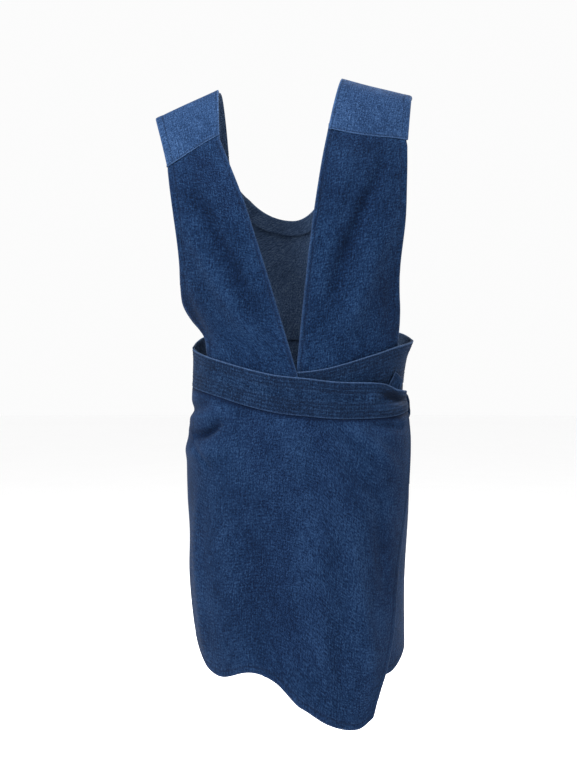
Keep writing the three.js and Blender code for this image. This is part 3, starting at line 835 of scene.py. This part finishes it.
# ---------------------------------------------------------------- putting pieces in place


def stand(name, data, at=(0, 0, 0), turn=(0, 0, 0)):
    made = bpy.data.objects.new(name, data)
    made.location = at
    made.rotation_euler = turn
    bpy.context.scene.collection.objects.link(made)
    return made


def show(name, mesh, materials):
    for material in materials:
        mesh.materials.append(material)
    return stand(name, mesh)


def settle(piece, motion):
    """Rides a piece on its body; a piece meant to blend across a joint only has its place baked into its
    points.
    """
    if isinstance(motion, str):
        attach(piece, motion)
    else:
        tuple(motion["start"])
        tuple(motion["end"])
        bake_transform(piece)


def add_cloth(name, cloth, shade, nodes, lines=(), motion="garment"):
    piece = show(name, cloth.mesh(name), [SHADES[shade], SHADES["lining"]])
    settle(piece, motion)
    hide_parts(*nodes)
    if lines:
        sewn = show(f"{name}_stitches", stitch_mesh(f"{name}_stitches", lines), [THREAD_SHADE])
        settle(sewn, motion)
    flat = [side * MM for side in cloth.flat]


def edges_of(side):
    """The grid's edges that lie away from the neck and beside it, on a yoke or back panel."""
    return ("left", "right") if side == "left" else ("right", "left")


def under_yoke(z, seam):
    """How far behind its yoke a panel lies, up where the yoke laps over it."""
    return LAP * smoothstep(z, seam - YOKE_LAP_RUN, seam) + SHOULDER_LEAN * np.maximum(z - YOKE_SEAM, 0)


def add_yoke(side, strap):
    mirrored = side == "left"

    def layer(behind):
        def place(u, v):
            seam = along(BACK_SEAM, mix(strap["inner"][0][1], strap["outer"][0][1], u))
            share = mix((seam - YOKE_SEAM) / YOKE_RUN, 1, v)
            x = mix(along(strap["inner"], share), along(strap["outer"], share), u)
            below = on_back(x, YOKE_SEAM + share * YOKE_RUN, -behind)
            return np.where(share[..., None] < 0, below, on_shoulder(x, share, -behind))

        return place

    outside, inside = edges_of(side)
    yoke = Cloth(layer(0), YOKE_SIZE, mirrored, (STEP, BAND_STEP))
    yoke.push(unevenness(yoke.points, f"yoke_{side}"))
    yoke.hem(outside, ARMHOLE_LINE, seed=11)
    yoke.hem(inside, NECK_LINE, seed=12)
    for end in ("bottom", "top"):
        yoke.hem(end, YOKE_LINE, seed=13, thick=0.5)
    lines = [yoke.line_at(outside, ARMHOLE_LINE)]
    lines += [yoke.line_at(end, YOKE_LINE) for end in ("bottom", "top")]
    # The yoke takes the paler denim, painted with the light from above
    add_cloth(f"yoke_{side}", yoke, "yoke", [f"{side}_yoke"], lines)
    lining = Cloth(layer(LAYER), YOKE_SIZE, mirrored)
    lining.push(unevenness(lining.points, f"yoke_{side}"))
    add_cloth(f"yoke_lining_{side}", lining, "lining", [f"{side}_yoke_lining"])


def facing_start(inner, edge):
    return 1 - ARMHOLE_FACING / np.abs(edge - inner)


def add_back_panel(side, v_edge, arm_edge, bottoms, wrap, folds):
    mirrored = side == "left"

    def layer(start, behind):
        def place(u, v):
            across = mix(start(v), 1, u)
            seam = along(BACK_SEAM, mix(v_edge[-1][1], arm_edge[-1][1], across))
            z = mix(mix(*bottoms, across), seam + SEAM_TUCK, v)
            x = mix(along(v_edge, z), along(arm_edge, z), across)
            depth = wrap(angle_at(x, z)) - BEHIND_BAND
            return on_back(x, z, sink_inside(z, bottoms[1], depth) - behind - under_yoke(z, seam))

        return place

    def start(v):
        z = mix(bottoms[1], YOKE_SEAM + SEAM_TUCK, v)
        return facing_start(along(v_edge, z), along(arm_edge, z))

    def clear_of_seams(points):
        z = points[..., 2] + shoulder_fall(points[..., 0]) * smoothstep(points[..., 2], *SLOPE_ENDS)
        above_band = smoothstep(z - bottoms[1], *PANEL_FADE)
        return above_band * (1 - smoothstep(z - YOKE_SEAM, *YOKE_FADE))

    def facing_place(u, v):
        return layer(start, FACING_LAYER)(u, mix(FACING_START, BACK_FACING_STOP, v))

    outside, inside = edges_of(side)
    panel = Cloth(layer(lambda v: 0 * v, 0), BACK_PANEL_SIZE, mirrored)
    soft = fold_relief(panel.points, folds) + unevenness(panel.points, "back_panel")
    panel.push(soft * clear_of_seams(panel.points))
    panel.hem(outside, ARMHOLE_LINE, seed=21)
    panel.hem(inside, EDGE_LINE, seed=22)
    lines = [panel.line_at(outside, ARMHOLE_LINE, 0.06, 0.965), panel.line_at(inside, EDGE_LINE, 0, 0.965)]
    nodes = [f"{side}_back_panel"]
    add_cloth(f"back_panel_{side}", panel, "panel", nodes, lines)

    facing = Cloth(facing_place, BACK_FACING_SIZE, mirrored)
    facing.push(fold_relief(facing.points, folds) * clear_of_seams(facing.points))
    nodes = [f"{side}_back_armhole_facing"]
    add_cloth(f"armhole_facing_back_{side}", facing, "lining", nodes)


def bib_edge(side):
    edge, yoke = (LEFT_BIB_EDGE, LEFT_YOKE) if side == "left" else (RIGHT_BIB_EDGE, RIGHT_YOKE)
    return edge, yoke["inner"][-1][1]


def bib_point(x, z, behind):
    return on_front(x, z, sink_inside(z, BIB_BOTTOM, -BEHIND_BAND) - behind - under_yoke(z, YOKE_SEAM))


def bib_wave(points):
    """The bib's own unevenness, which its facings share."""
    return unevenness(points, "bib") * smoothstep(points[..., 2] - BIB_BOTTOM, *BIB_FADE)


def bib_place(u, v):
    """The whole bib, from its right armhole to its left one; its upper edge runs along the neckline."""
    across = 1 - 2 * u
    low, high = BIB_BOTTOM, YOKE_SEAM + SEAM_TUCK
    turn = np.clip(across / BIB_NECK_SHARE, -1, 1) * (math.pi / 2)
    strap = np.clip((np.abs(across) - BIB_NECK_SHARE) / (1 - BIB_NECK_SHARE), 0, 1)
    x = np.zeros_like(u)
    z = mix(low, mix(NECK_LOW, high, 1 - np.cos(turn)), v)
    for side, sign in (("left", -1), ("right", 1)):
        edge, neck = bib_edge(side)
        top = np.where(strap > 0, mix(neck, along(edge, high), strap), neck * np.abs(np.sin(turn)))
        bottom = along(edge, low) * np.abs(across)
        bulge = along(edge, mix(low, high, v)) - mix(along(edge, low), along(edge, high), v)
        half = mix(bottom, top, v) + bulge * across**2
        x = np.where(across * sign >= 0, half, x)
    return bib_point(x, z, 0)


def armhole_facing_place(side):
    edge = bib_edge(side)[0]

    def place(u, v):
        v = mix(FACING_START, FRONT_FACING_STOP, v)
        turn = np.maximum((v - NECK_SHARE) / (1 - NECK_SHARE), 0) * (math.pi / 2)
        below = mix(BIB_BOTTOM, NECK_LOW, np.minimum(v / NECK_SHARE, 1))
        z = np.where(turn > 0, mix(NECK_LOW, YOKE_SEAM, 1 - np.cos(turn)), below)
        outer = along(edge, z)
        inner = outer * facing_start(0 * z, outer)
        return bib_point(mix(inner, outer, u), z, FACING_LAYER)

    return place


def neck_facing_place(u, v):
    turn = mix(-math.pi / 2, math.pi / 2, u)
    left = LEFT_YOKE["inner"][-1][1] - NECK_FACING * v
    right = RIGHT_YOKE["inner"][-1][1] + NECK_FACING * v
    x = np.abs(np.sin(turn)) * np.where(turn < 0, left, right)
    return bib_point(x, mix(YOKE_SEAM, NECK_LOW - NECK_FACING * v, np.cos(turn)), FACING_LAYER)


def add_bib():
    bib = Cloth(bib_place, BIB_SIZE)
    bib.push(bib_wave(bib.points))
    for edge in ("left", "right"):
        bib.hem(edge, ARMHOLE_LINE, seed=32)
    bib.hem("top", EDGE_LINE, seed=33)
    neck = (0.5 - BIB_NECK_SHARE / 2, 0.5 + BIB_NECK_SHARE / 2)
    lines = [bib.line_at(edge, ARMHOLE_LINE, 0.05, 0.965) for edge in ("left", "right")]
    lines.append(bib.line_at("top", EDGE_LINE, *neck))
    add_cloth("bib", bib, "panel", ["front_bib"], lines)
    for side in ("left", "right"):
        facing = Cloth(armhole_facing_place(side), FRONT_FACING_SIZE, mirrored=side == "right")
        facing.push(bib_wave(facing.points))
        nodes = [f"{side}_front_armhole_facing"]
        add_cloth(f"armhole_facing_front_{side}", facing, "lining", nodes)
    facing = Cloth(neck_facing_place, NECK_FACING_SIZE)
    facing.push(bib_wave(facing.points))
    add_cloth("neck_facing", facing, "lining", ["front_neck_facing"])


def height_along(stations, drop=0):
    """The height at an angle, as a function, from [angle, height] stations."""
    return lambda angle: along(stations, angle) - drop


OUTER_SEAM = height_along(OUTER_BAND_BOTTOM)
UNDER_SEAM = height_along(UNDER_BAND_TOP, UNDER_BAND_WIDTH)
FRONT_SEAM = height_along(FRONT_BAND_TOP, FRONT_BAND_WIDTH)


def flush(angle):
    return 0 * angle


def band_end_relief(points):
    """The tuck near the outer band's right end: a hollow under its upper edge and a lobe below."""
    x, z = points[..., 0], points[..., 2]
    relief = np.zeros_like(x)
    for (at_x, at_z), (wide, tall), tilt, height in BAND_END_LUMPS:
        rise = z - at_z - tilt * (x - at_x)
        relief += height * np.exp(-(((x - at_x) / wide) ** 2) - (rise / tall) ** 2)
    return relief


def right_flare(points):
    """The band's upper edge stands away from the body at the right side."""
    x, z = points[..., 0], points[..., 2]
    return FLARE["height"] * smoothstep(x, *FLARE["across"]) * smoothstep(z, *FLARE["up"])


def under_band_relief(points):
    """The under band is pressed in where the tuck reaches it."""
    return np.minimum(band_end_relief(points) + PRESS_GAP, 0) + right_flare(points)


def add_band(name, cad, angles, top, bottom, lift, relief):
    """A waistband with its facing, between the heights top(angle) and bottom(angle)."""

    def layer(behind):
        def place(u, v):
            angle = mix(*angles, u)
            return round_body(angle, mix(bottom(angle), top(angle), v), lift(angle) - behind)

        return place

    size, seed = (BAND_LENGTHS[name], BAND_HEIGHT), RIPPLES[name][-1]
    band = Cloth(layer(0), size, steps=(STEP, BAND_STEP))
    band.push(unevenness(band.points, name) + relief(band.points))
    # Painted shade in the hollow of the tuck
    band.shade = band.shade + TUCK_SHADE * np.minimum(relief(band.points), 0)
    band.wear = BAND_WEAR * (1 - smoothstep(band.from_top, 0.2, 1.8))
    band.wear += HEM_WEAR * (1 - smoothstep(band.from_bottom, 0.2, 1.6))
    lines = []
    for edge, distances in (("top", BAND_LINES_TOP), ("bottom", BAND_LINES_BOTTOM)):
        for k, distance in enumerate(distances):
            band.seam(edge, distance, seed + k, depth=0.3)
            lines.append(band.line_at(edge, distance))
    add_cloth(name, band, "band", [cad], lines)
    facing = Cloth(layer(LAYER), size)
    facing.push(unevenness(facing.points, name) + relief(facing.points))
    add_cloth(f"{name}_facing", facing, "lining", [f"{cad}_facing"])


def add_waistbands():
    outer, under, front = "outer_waistband", "under_waistband", "front_waistband"
    ends, top = [-SIDE_SEAM, OUTER_BAND_END], height_along(OUTER_BAND_TOP)
    add_band(outer, "waistband_wrap_outer", ends, top, OUTER_SEAM, outer_wrap, band_end_relief)
    ends, top = [UNDER_END, SIDE_SEAM], height_along(UNDER_BAND_TOP)
    add_band(under, "waistband_wrap_under", ends, top, UNDER_SEAM, under_wrap, under_band_relief)
    ends, top = [SIDE_SEAM, 360 - SIDE_SEAM], height_along(FRONT_BAND_TOP)
    add_band(front, "waistband_front", ends, top, FRONT_SEAM, flush, right_flare)


def upright(angle):
    """A skirt panel's side that keeps one angle all the way up."""
    return lambda v: angle + 0 * v


def skirt_place(sides, hem, seam_at, lift):
    """A skirt panel between two sides, which give the angle at a share of the height."""

    def place(u, v):
        angle = mix(sides[0](v), sides[1](v), u)
        seam = seam_at(angle)
        z = mix(along(hem, angle), seam + SKIRT_TUCK, v)
        start, end = (seam + run for run in SKIRT_LAP_RUN)
        return round_body(angle, z, lift(angle) - LAP * smoothstep(z, start, end))

    return place


def below_band(cloth):
    """0 at the seam with the band and 1 below it."""
    return smoothstep(cloth.from_top - SKIRT_TUCK, 0, SKIRT_FADE)


def paint_band_edge_shadow(cloth):
    """A painted shadow on the skirt panel along the seam, just under the band's lower edge, where the band
    covers it.
    """
    cloth.shade = cloth.shade - BAND_EDGE_SHADOW * bell(cloth.from_top - SKIRT_TUCK - 1, 4)


def add_skirt_panel(name, nodes, place, relief, free_sides, seed, motion="garment"):
    panel = Cloth(place, SKIRT_SIZES[name])
    panel.push(relief(panel.points) * below_band(panel))
    # Painted shadow under the band's edge
    paint_band_edge_shadow(panel)
    for k, edge in enumerate(["bottom", *free_sides]):
        panel.hem(edge, HEM_LINE, seed + k)
    lines = [panel.line_at("bottom", HEM_LINE)]
    lines += [panel.line_at(edge, HEM_LINE, 0.02, 0.98) for edge in free_sides]
    add_cloth(f"{name}_skirt", panel, "skirt", nodes, lines, motion)


def outer_relief(points):
    return fold_relief(points, PINCH_FOLDS + OUTER_SKIRT_FOLDS) + unevenness(points, "outer_skirt")


def under_relief(points):
    """The under panel's own folds, and the deep ones of the outer panel, which press it in."""
    pressed = np.minimum(fold_relief(points, PINCH_FOLDS + OUTER_SKIRT_FOLDS) + PRESS_GAP, 0)
    return pressed + fold_relief(points, UNDER_SKIRT_FOLDS)


def front_relief(points):
    """The front's folds; near the left seam they carry on from the outer wrap's pinch."""
    beside_seam = 1 - smoothstep(points[..., 1], *FRONT_FADE)
    pinch = fold_relief(points, PINCH_FOLDS) * np.where(points[..., 0] < 0, beside_seam, 0)
    front = fold_relief(points, FRONT_SKIRT_FOLDS) * (1 - beside_seam)
    return pinch + front + unevenness(points, "front_skirt") * (1 - beside_seam)


def add_skirt():
    corner = {"from": "garment", "to": "wrap_corner", "start": CORNER_FOLD_FROM, "end": CORNER_FOLD_TO}
    nodes = ["skirt_wrap_outer", "skirt_wrap_corner"]
    sides = [upright(-SIDE_SEAM), lambda v: along(FREE_EDGE, v)]
    place = skirt_place(sides, OUTER_HEM, OUTER_SEAM, outer_wrap)
    add_skirt_panel("outer", nodes, place, outer_relief, ["right"], 72, corner)
    sides = [upright(UNDER_END), upright(SIDE_SEAM)]
    place = skirt_place(sides, UNDER_HEM, UNDER_SEAM, under_wrap)
    add_skirt_panel("under", ["skirt_wrap_under"], place, under_relief, ["left"], 74)
    sides = [upright(SIDE_SEAM), upright(360 - SIDE_SEAM)]
    place = skirt_place(sides, FRONT_HEM, FRONT_SEAM, flush)
    add_skirt_panel("front", ["skirt_front"], place, front_relief, [], 76)


def add_pockets():
    """Patch pockets: bags that lie on the skirt along three edges and stand off it in the middle."""
    for side, angles in POCKET_ANGLES.items():

        def place(u, v, angles=angles):
            angle = mix(*angles, u)
            z = POCKET_TOP - POCKET_DEPTH * (1 - v) - 5 * (1 - v) ** 6 * (1 - np.abs(2 * u - 1)) ** 0.5
            crown = np.sin(np.pi * u) ** 0.7 * mix(0.12, 1, smoothstep(v, 0, 1))
            return round_body(angle, z, LAYER + POCKET_STANDOFF * crown)

        pocket = Cloth(place, POCKET_SIZE)
        share = smoothstep(pocket.from_bottom, 8, 60) * smoothstep(pocket.from_left, 8, 40)
        share = share * smoothstep(pocket.from_right, 8, 40)
        pocket.push(unevenness(pocket.points, "pocket") * share)
        pocket.hem("top", POCKET_HEM[1], seed=82)
        lines = [pocket.line_at("top", distance) for distance in reversed(POCKET_HEM)]
        for edge in ("left", "right", "bottom"):
            pocket.hem(edge, POCKET_LINES[0], seed=83, thick=0.6)
            lines += [pocket.line_at(edge, distance) for distance in POCKET_LINES]
        add_cloth(f"pocket_{side}", pocket, "skirt", [f"{side}_pocket"], lines)


def strip_place(tie):
    """A tie that stands or hangs from its lower or upper end, leaning over by its own angle."""

    def place(u, v):
        tilt = math.radians(tie["lean"])
        across = (u - 0.5) * TIE_WIDTH * mix(1, tie["narrowest"], smoothstep(v, 0.7, 1))
        sideways = across * math.cos(tilt) + v * tie["length"] * math.sin(tilt)
        z = tie["bottom"] + v * tie["length"] * math.cos(tilt) - across * math.sin(tilt)
        return round_body(tie["angle"] + np.degrees(sideways / SIDE_RADIUS), z, tie["lift"])

    return place


def level_tie_place(tie):
    """A tie that runs round the body from the knot, where it is pinched narrow."""

    def place(u, v):
        width = TIE_WIDTH * mix(PINCHED, 1, smoothstep(u, 0, 0.5))
        z = mix(*tie["heights"], u) + width * (v - 0.5)
        return round_body(mix(*tie["angles"], u), z, mix(*tie["lifts"], u))

    return place


def add_tie(name, cad, place, size, motion, curl, mirrored=False):
    """A tie whose long edges are stitched and whose edges are all rubbed."""
    tie = Cloth(place, size, mirrored, steps=TIE_STEPS)
    tie.push(curl(tie) + unevenness(tie.points, "tie"))
    for edge in ("left", "right", "bottom", "top"):
        tie.wear = np.maximum(tie.wear, HEM_WEAR * (1 - smoothstep(tie.edge(edge), 0.3, 2)))
    lines = []
    for edge in ("bottom", "top") if size[0] > size[1] else ("left", "right"):
        tie.seam(edge, TIE_LINE, seed=92, depth=0.3)
        lines.append(tie.line_at(edge, TIE_LINE))
    add_cloth(name, tie, "band", [cad], lines, motion)


def tail_curl(tie):
    return 4 * bell(tie.from_bottom, 24) + 1.3 * np.sin(tie.from_bottom / 15)


def end_curl(tie):
    return 0.3 * tie.from_left


def level_curl(tie):
    return 1.2 * np.sin(tie.from_bottom / 5) * bell(tie.from_right, 30)


def add_ties():
    tail_top, end_base = on_tie(TIE_TAIL, 1), on_tie(TIE_END, 0)
    tail = {"from": "garment", "to": "tie_tail", "start": tail_top, "end": on_tie(TIE_TAIL, 0.78)}
    end = {"from": "garment", "to": "tie_end", "start": end_base, "end": on_tie(TIE_END, 0.7)}
    size = (TIE_WIDTH, TIE_TAIL["length"])
    add_tie("tie_hanging_end", "tie_tail", strip_place(TIE_TAIL), size, tail, tail_curl)
    size = (TIE_WIDTH, TIE_END["length"])
    add_tie("tie_short_end", "tie_end", strip_place(TIE_END), size, end, end_curl)
    place, size = level_tie_place(SIDE_TIE), (STRIP_LENGTH, TIE_WIDTH)
    add_tie("tie_strip", "side_tie", place, size, "garment", level_curl)
    place, size = level_tie_place(LEAD_TIE), (LEAD_LENGTH, TIE_WIDTH)
    add_tie("tie_lead", "tie_knot", place, size, "garment", level_curl, mirrored=True)


def on_tie(tie, share):
    """A point of a tie's middle line in metres."""
    return (strip_place(tie)(np.array([0.5]), np.array([float(share)]))[0] * MM).tolist()


def frame_at(angle, z, lift):
    """A point off the body with the outward, sideways and upward directions there, in millimetres."""
    at, z = np.array([float(angle)]), np.array([float(z)])
    middle = round_body(at, z, lift)[0]
    outward = unit(round_body(at, z, lift + 1.0)[0] - middle)
    sideways = unit(np.cross([0, 0, 1.0], outward))
    return middle, outward, sideways, np.cross(outward, sideways)


def add_knot():
    """The wrapped knot: crossing turns of the tie drawn tight over one another."""
    middle, outward, sideways, upward = frame_at(KNOT["angle"], KNOT["height"], KNOT["lift"])
    wide, deep, tall = (size / 2 for size in KNOT["size"])
    turn, pole = np.linspace(0, 2 * math.pi, 97)[:-1], 0.02
    around, along_it = np.meshgrid(turn, np.linspace(pole, math.pi - pole, 61))
    turns = np.sin(along_it)[..., None] * np.stack([np.cos(around), np.sin(around)], -1)
    ball = np.concatenate([turns, np.cos(along_it)[..., None]], -1)
    ball = np.sign(ball) * np.abs(ball) ** 0.85
    first = ball @ unit(np.array([0.75, 0.1, 0.62]))
    second = ball @ unit(np.array([-0.7, 0.1, 0.66]))
    strand = np.sqrt(np.maximum(1 - (first / 0.45) ** 2, 0))
    under = 0.7 * np.sqrt(np.maximum(1 - (second / 0.6) ** 2, 0))
    swell = 0.82 + 0.22 * np.maximum(strand, under)
    swell += np.where(strand > 0, 0.025 * np.sin(first * 30), 0.025 * np.sin(second * 30))
    ball = ball * swell[..., None]
    points = (
        middle
        + ball[..., :1] * sideways * wide
        + ball[..., 1:2] * outward * deep
        + ball[..., 2:] * upward * tall
    )
    rows, columns = around.shape
    grid = np.arange(rows * columns).reshape(rows, columns)
    after = np.roll(grid, -1, axis=1)
    faces = np.stack([grid[1:], after[1:], after[:-1], grid[:-1]], -1).reshape(-1, 4).tolist()
    faces += [grid[0].tolist(), grid[-1, ::-1].tolist()]
    mesh = new_mesh("knot", points.reshape(-1, 3), faces)
    weave = np.stack([around * wide, along_it * tall], -1).reshape(-1, 2)
    corners = [corner for face in faces for corner in face]
    # Crowns of the turns are rubbed and faded paler; the creases between them are painted darker, as
    # painted shade
    paint(mesh, weave, corners, np.clip(swell - 1.0, 0, 1) * 3, (swell - 1) * 12)
    knot = show("knot", mesh, [SHADES["band"]])
    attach(knot, "garment")
    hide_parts("tie_knot")


def lathe_mesh(name, place, rings, segments, dip):
    """A turned piece: rings of (radius, height), closed at both ends; dip(x, y) sinks its face."""
    middle, outward, sideways, upward = place
    points = []
    for radius, height in rings:
        for turn in np.arange(segments) * 2 * math.pi / segments:
            x, y = radius * math.cos(turn), radius * math.sin(turn)
            points.append(middle + sideways * x + upward * y + outward * dip(x, y, height))
    return new_mesh(name, points, tube_faces(len(rings), segments))


def add_button():
    """A four-hole button with a raised rim, and its wound thread shank."""
    radius, half = BUTTON["radius"], BUTTON["thickness"] / 2
    place = frame_at(BUTTON["angle"], BUTTON["height"], BUTTON["lift"])
    holes = [(2.2 * math.cos(a), 2.2 * math.sin(a)) for a in np.arange(4) * math.pi / 2 + math.pi / 4]

    def dip(x, y, height):
        near = min(math.hypot(x - a, y - b) for a, b in holes)
        return height * (0.25 if near < 0.9 and math.hypot(x, y) < 4 else 1)

    face = [(r, half * (0.62 + 0.38 * float(smoothstep(r, 4.2, 5.6)))) for r in np.arange(0.2, 6.6, 0.35)]
    rim = [(radius - 0.5, half), (radius, half * 0.45), (radius, -half * 0.45), (radius - 0.5, -half)]
    rings = [(r, -h) for r, h in face] + rim[::-1] + face[::-1]
    button = show("button", lathe_mesh("button", place, rings, 64, dip), [button_material()])
    shank_rings = [(0.2, 0)] + [(1.2 + 0.2 * (k % 2), 0.15 + 0.15 * k) for k in range(8)] + [(0.2, 1.35)]
    base = frame_at(BUTTON["angle"], BUTTON["height"], BUTTON["lift"] + half + 0.3)
    thread = lathe_mesh("button_shank", base, shank_rings, 20, lambda x, y, height: height)
    shank = show("button_shank", thread, [THREAD_SHADE])
    for piece, cad, slot in ((button, "inner_button", "button"), (shank, "button_thread", "thread")):
        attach(piece, "garment")
        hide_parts(cad)


def add_floor():
    """A plain pale floor that runs out to the horizon."""
    turns = np.arange(FLOOR_SIDES) * 2 * math.pi / FLOOR_SIDES
    points = [(0.0, 0.0, FLOOR)]
    for radius in FLOOR_RINGS:
        points += [(radius * math.cos(t), radius * math.sin(t), FLOOR) for t in turns]
    faces = [(0, 1 + j, 1 + (j + 1) % FLOOR_SIDES) for j in range(FLOOR_SIDES)]
    faces += [face[::-1] for face in ring_faces(len(FLOOR_RINGS), FLOOR_SIDES, 1)]
    mesh = bpy.data.meshes.new("floor")
    mesh.from_pydata(points, [], faces)
    material, tree, shader = blank_material("floor_paint")
    grain = plain_noise(tree, {"Scale": 3.0})
    two_tone(tree, shader, grain, (0.97, 0.97, 0.97), (0.99, 0.99, 0.99))
    shader.inputs["Roughness"].default_value = 0.9
    show("floor", mesh, [material])


def add_light(name, place, aim, size, power):
    data = bpy.data.lights.new(name, "AREA")
    data.shape = "DISK"
    data.size = size
    data.energy = power
    stand(name, data, place, (Vector(aim) - Vector(place)).to_track_quat("-Z", "Y").to_euler())


def light_studio():
    """Soft light from high on the left, a weaker one on each other side, and a pale surround."""
    world = bpy.data.worlds.new("surround")
    world.use_nodes = True
    world.node_tree.nodes["Background"].inputs["Color"].default_value = (1, 1, 1, 1)
    world.node_tree.nodes["Background"].inputs["Strength"].default_value = SURROUND
    bpy.context.scene.world = world
    for name, place, aim, size, power in LIGHTS:
        add_light(name, place, aim, size, power)
    bpy.context.scene.view_settings.view_transform = "Standard"


def camera():
    """The photograph's camera."""
    data = bpy.data.cameras.new("camera")
    data.lens = LENS
    bpy.context.scene.camera = stand("camera", data, CAMERA_AT, (math.pi / 2, 0, 0))


camera()
add_yoke("left", LEFT_YOKE)
add_yoke("right", RIGHT_YOKE)
add_back_panel("left", LEFT_V_EDGE, LEFT_BACK_EDGE, LEFT_BACK_BOTTOMS, outer_wrap, LEFT_PANEL_FOLDS)
add_back_panel("right", RIGHT_V_EDGE, RIGHT_BACK_EDGE, RIGHT_BACK_BOTTOMS, under_wrap, RIGHT_PANEL_FOLDS)
add_bib()
add_waistbands()
add_skirt()
add_pockets()
add_knot()
add_ties()
add_button()
add_floor()
light_studio()

bpy.context.view_layer.update()
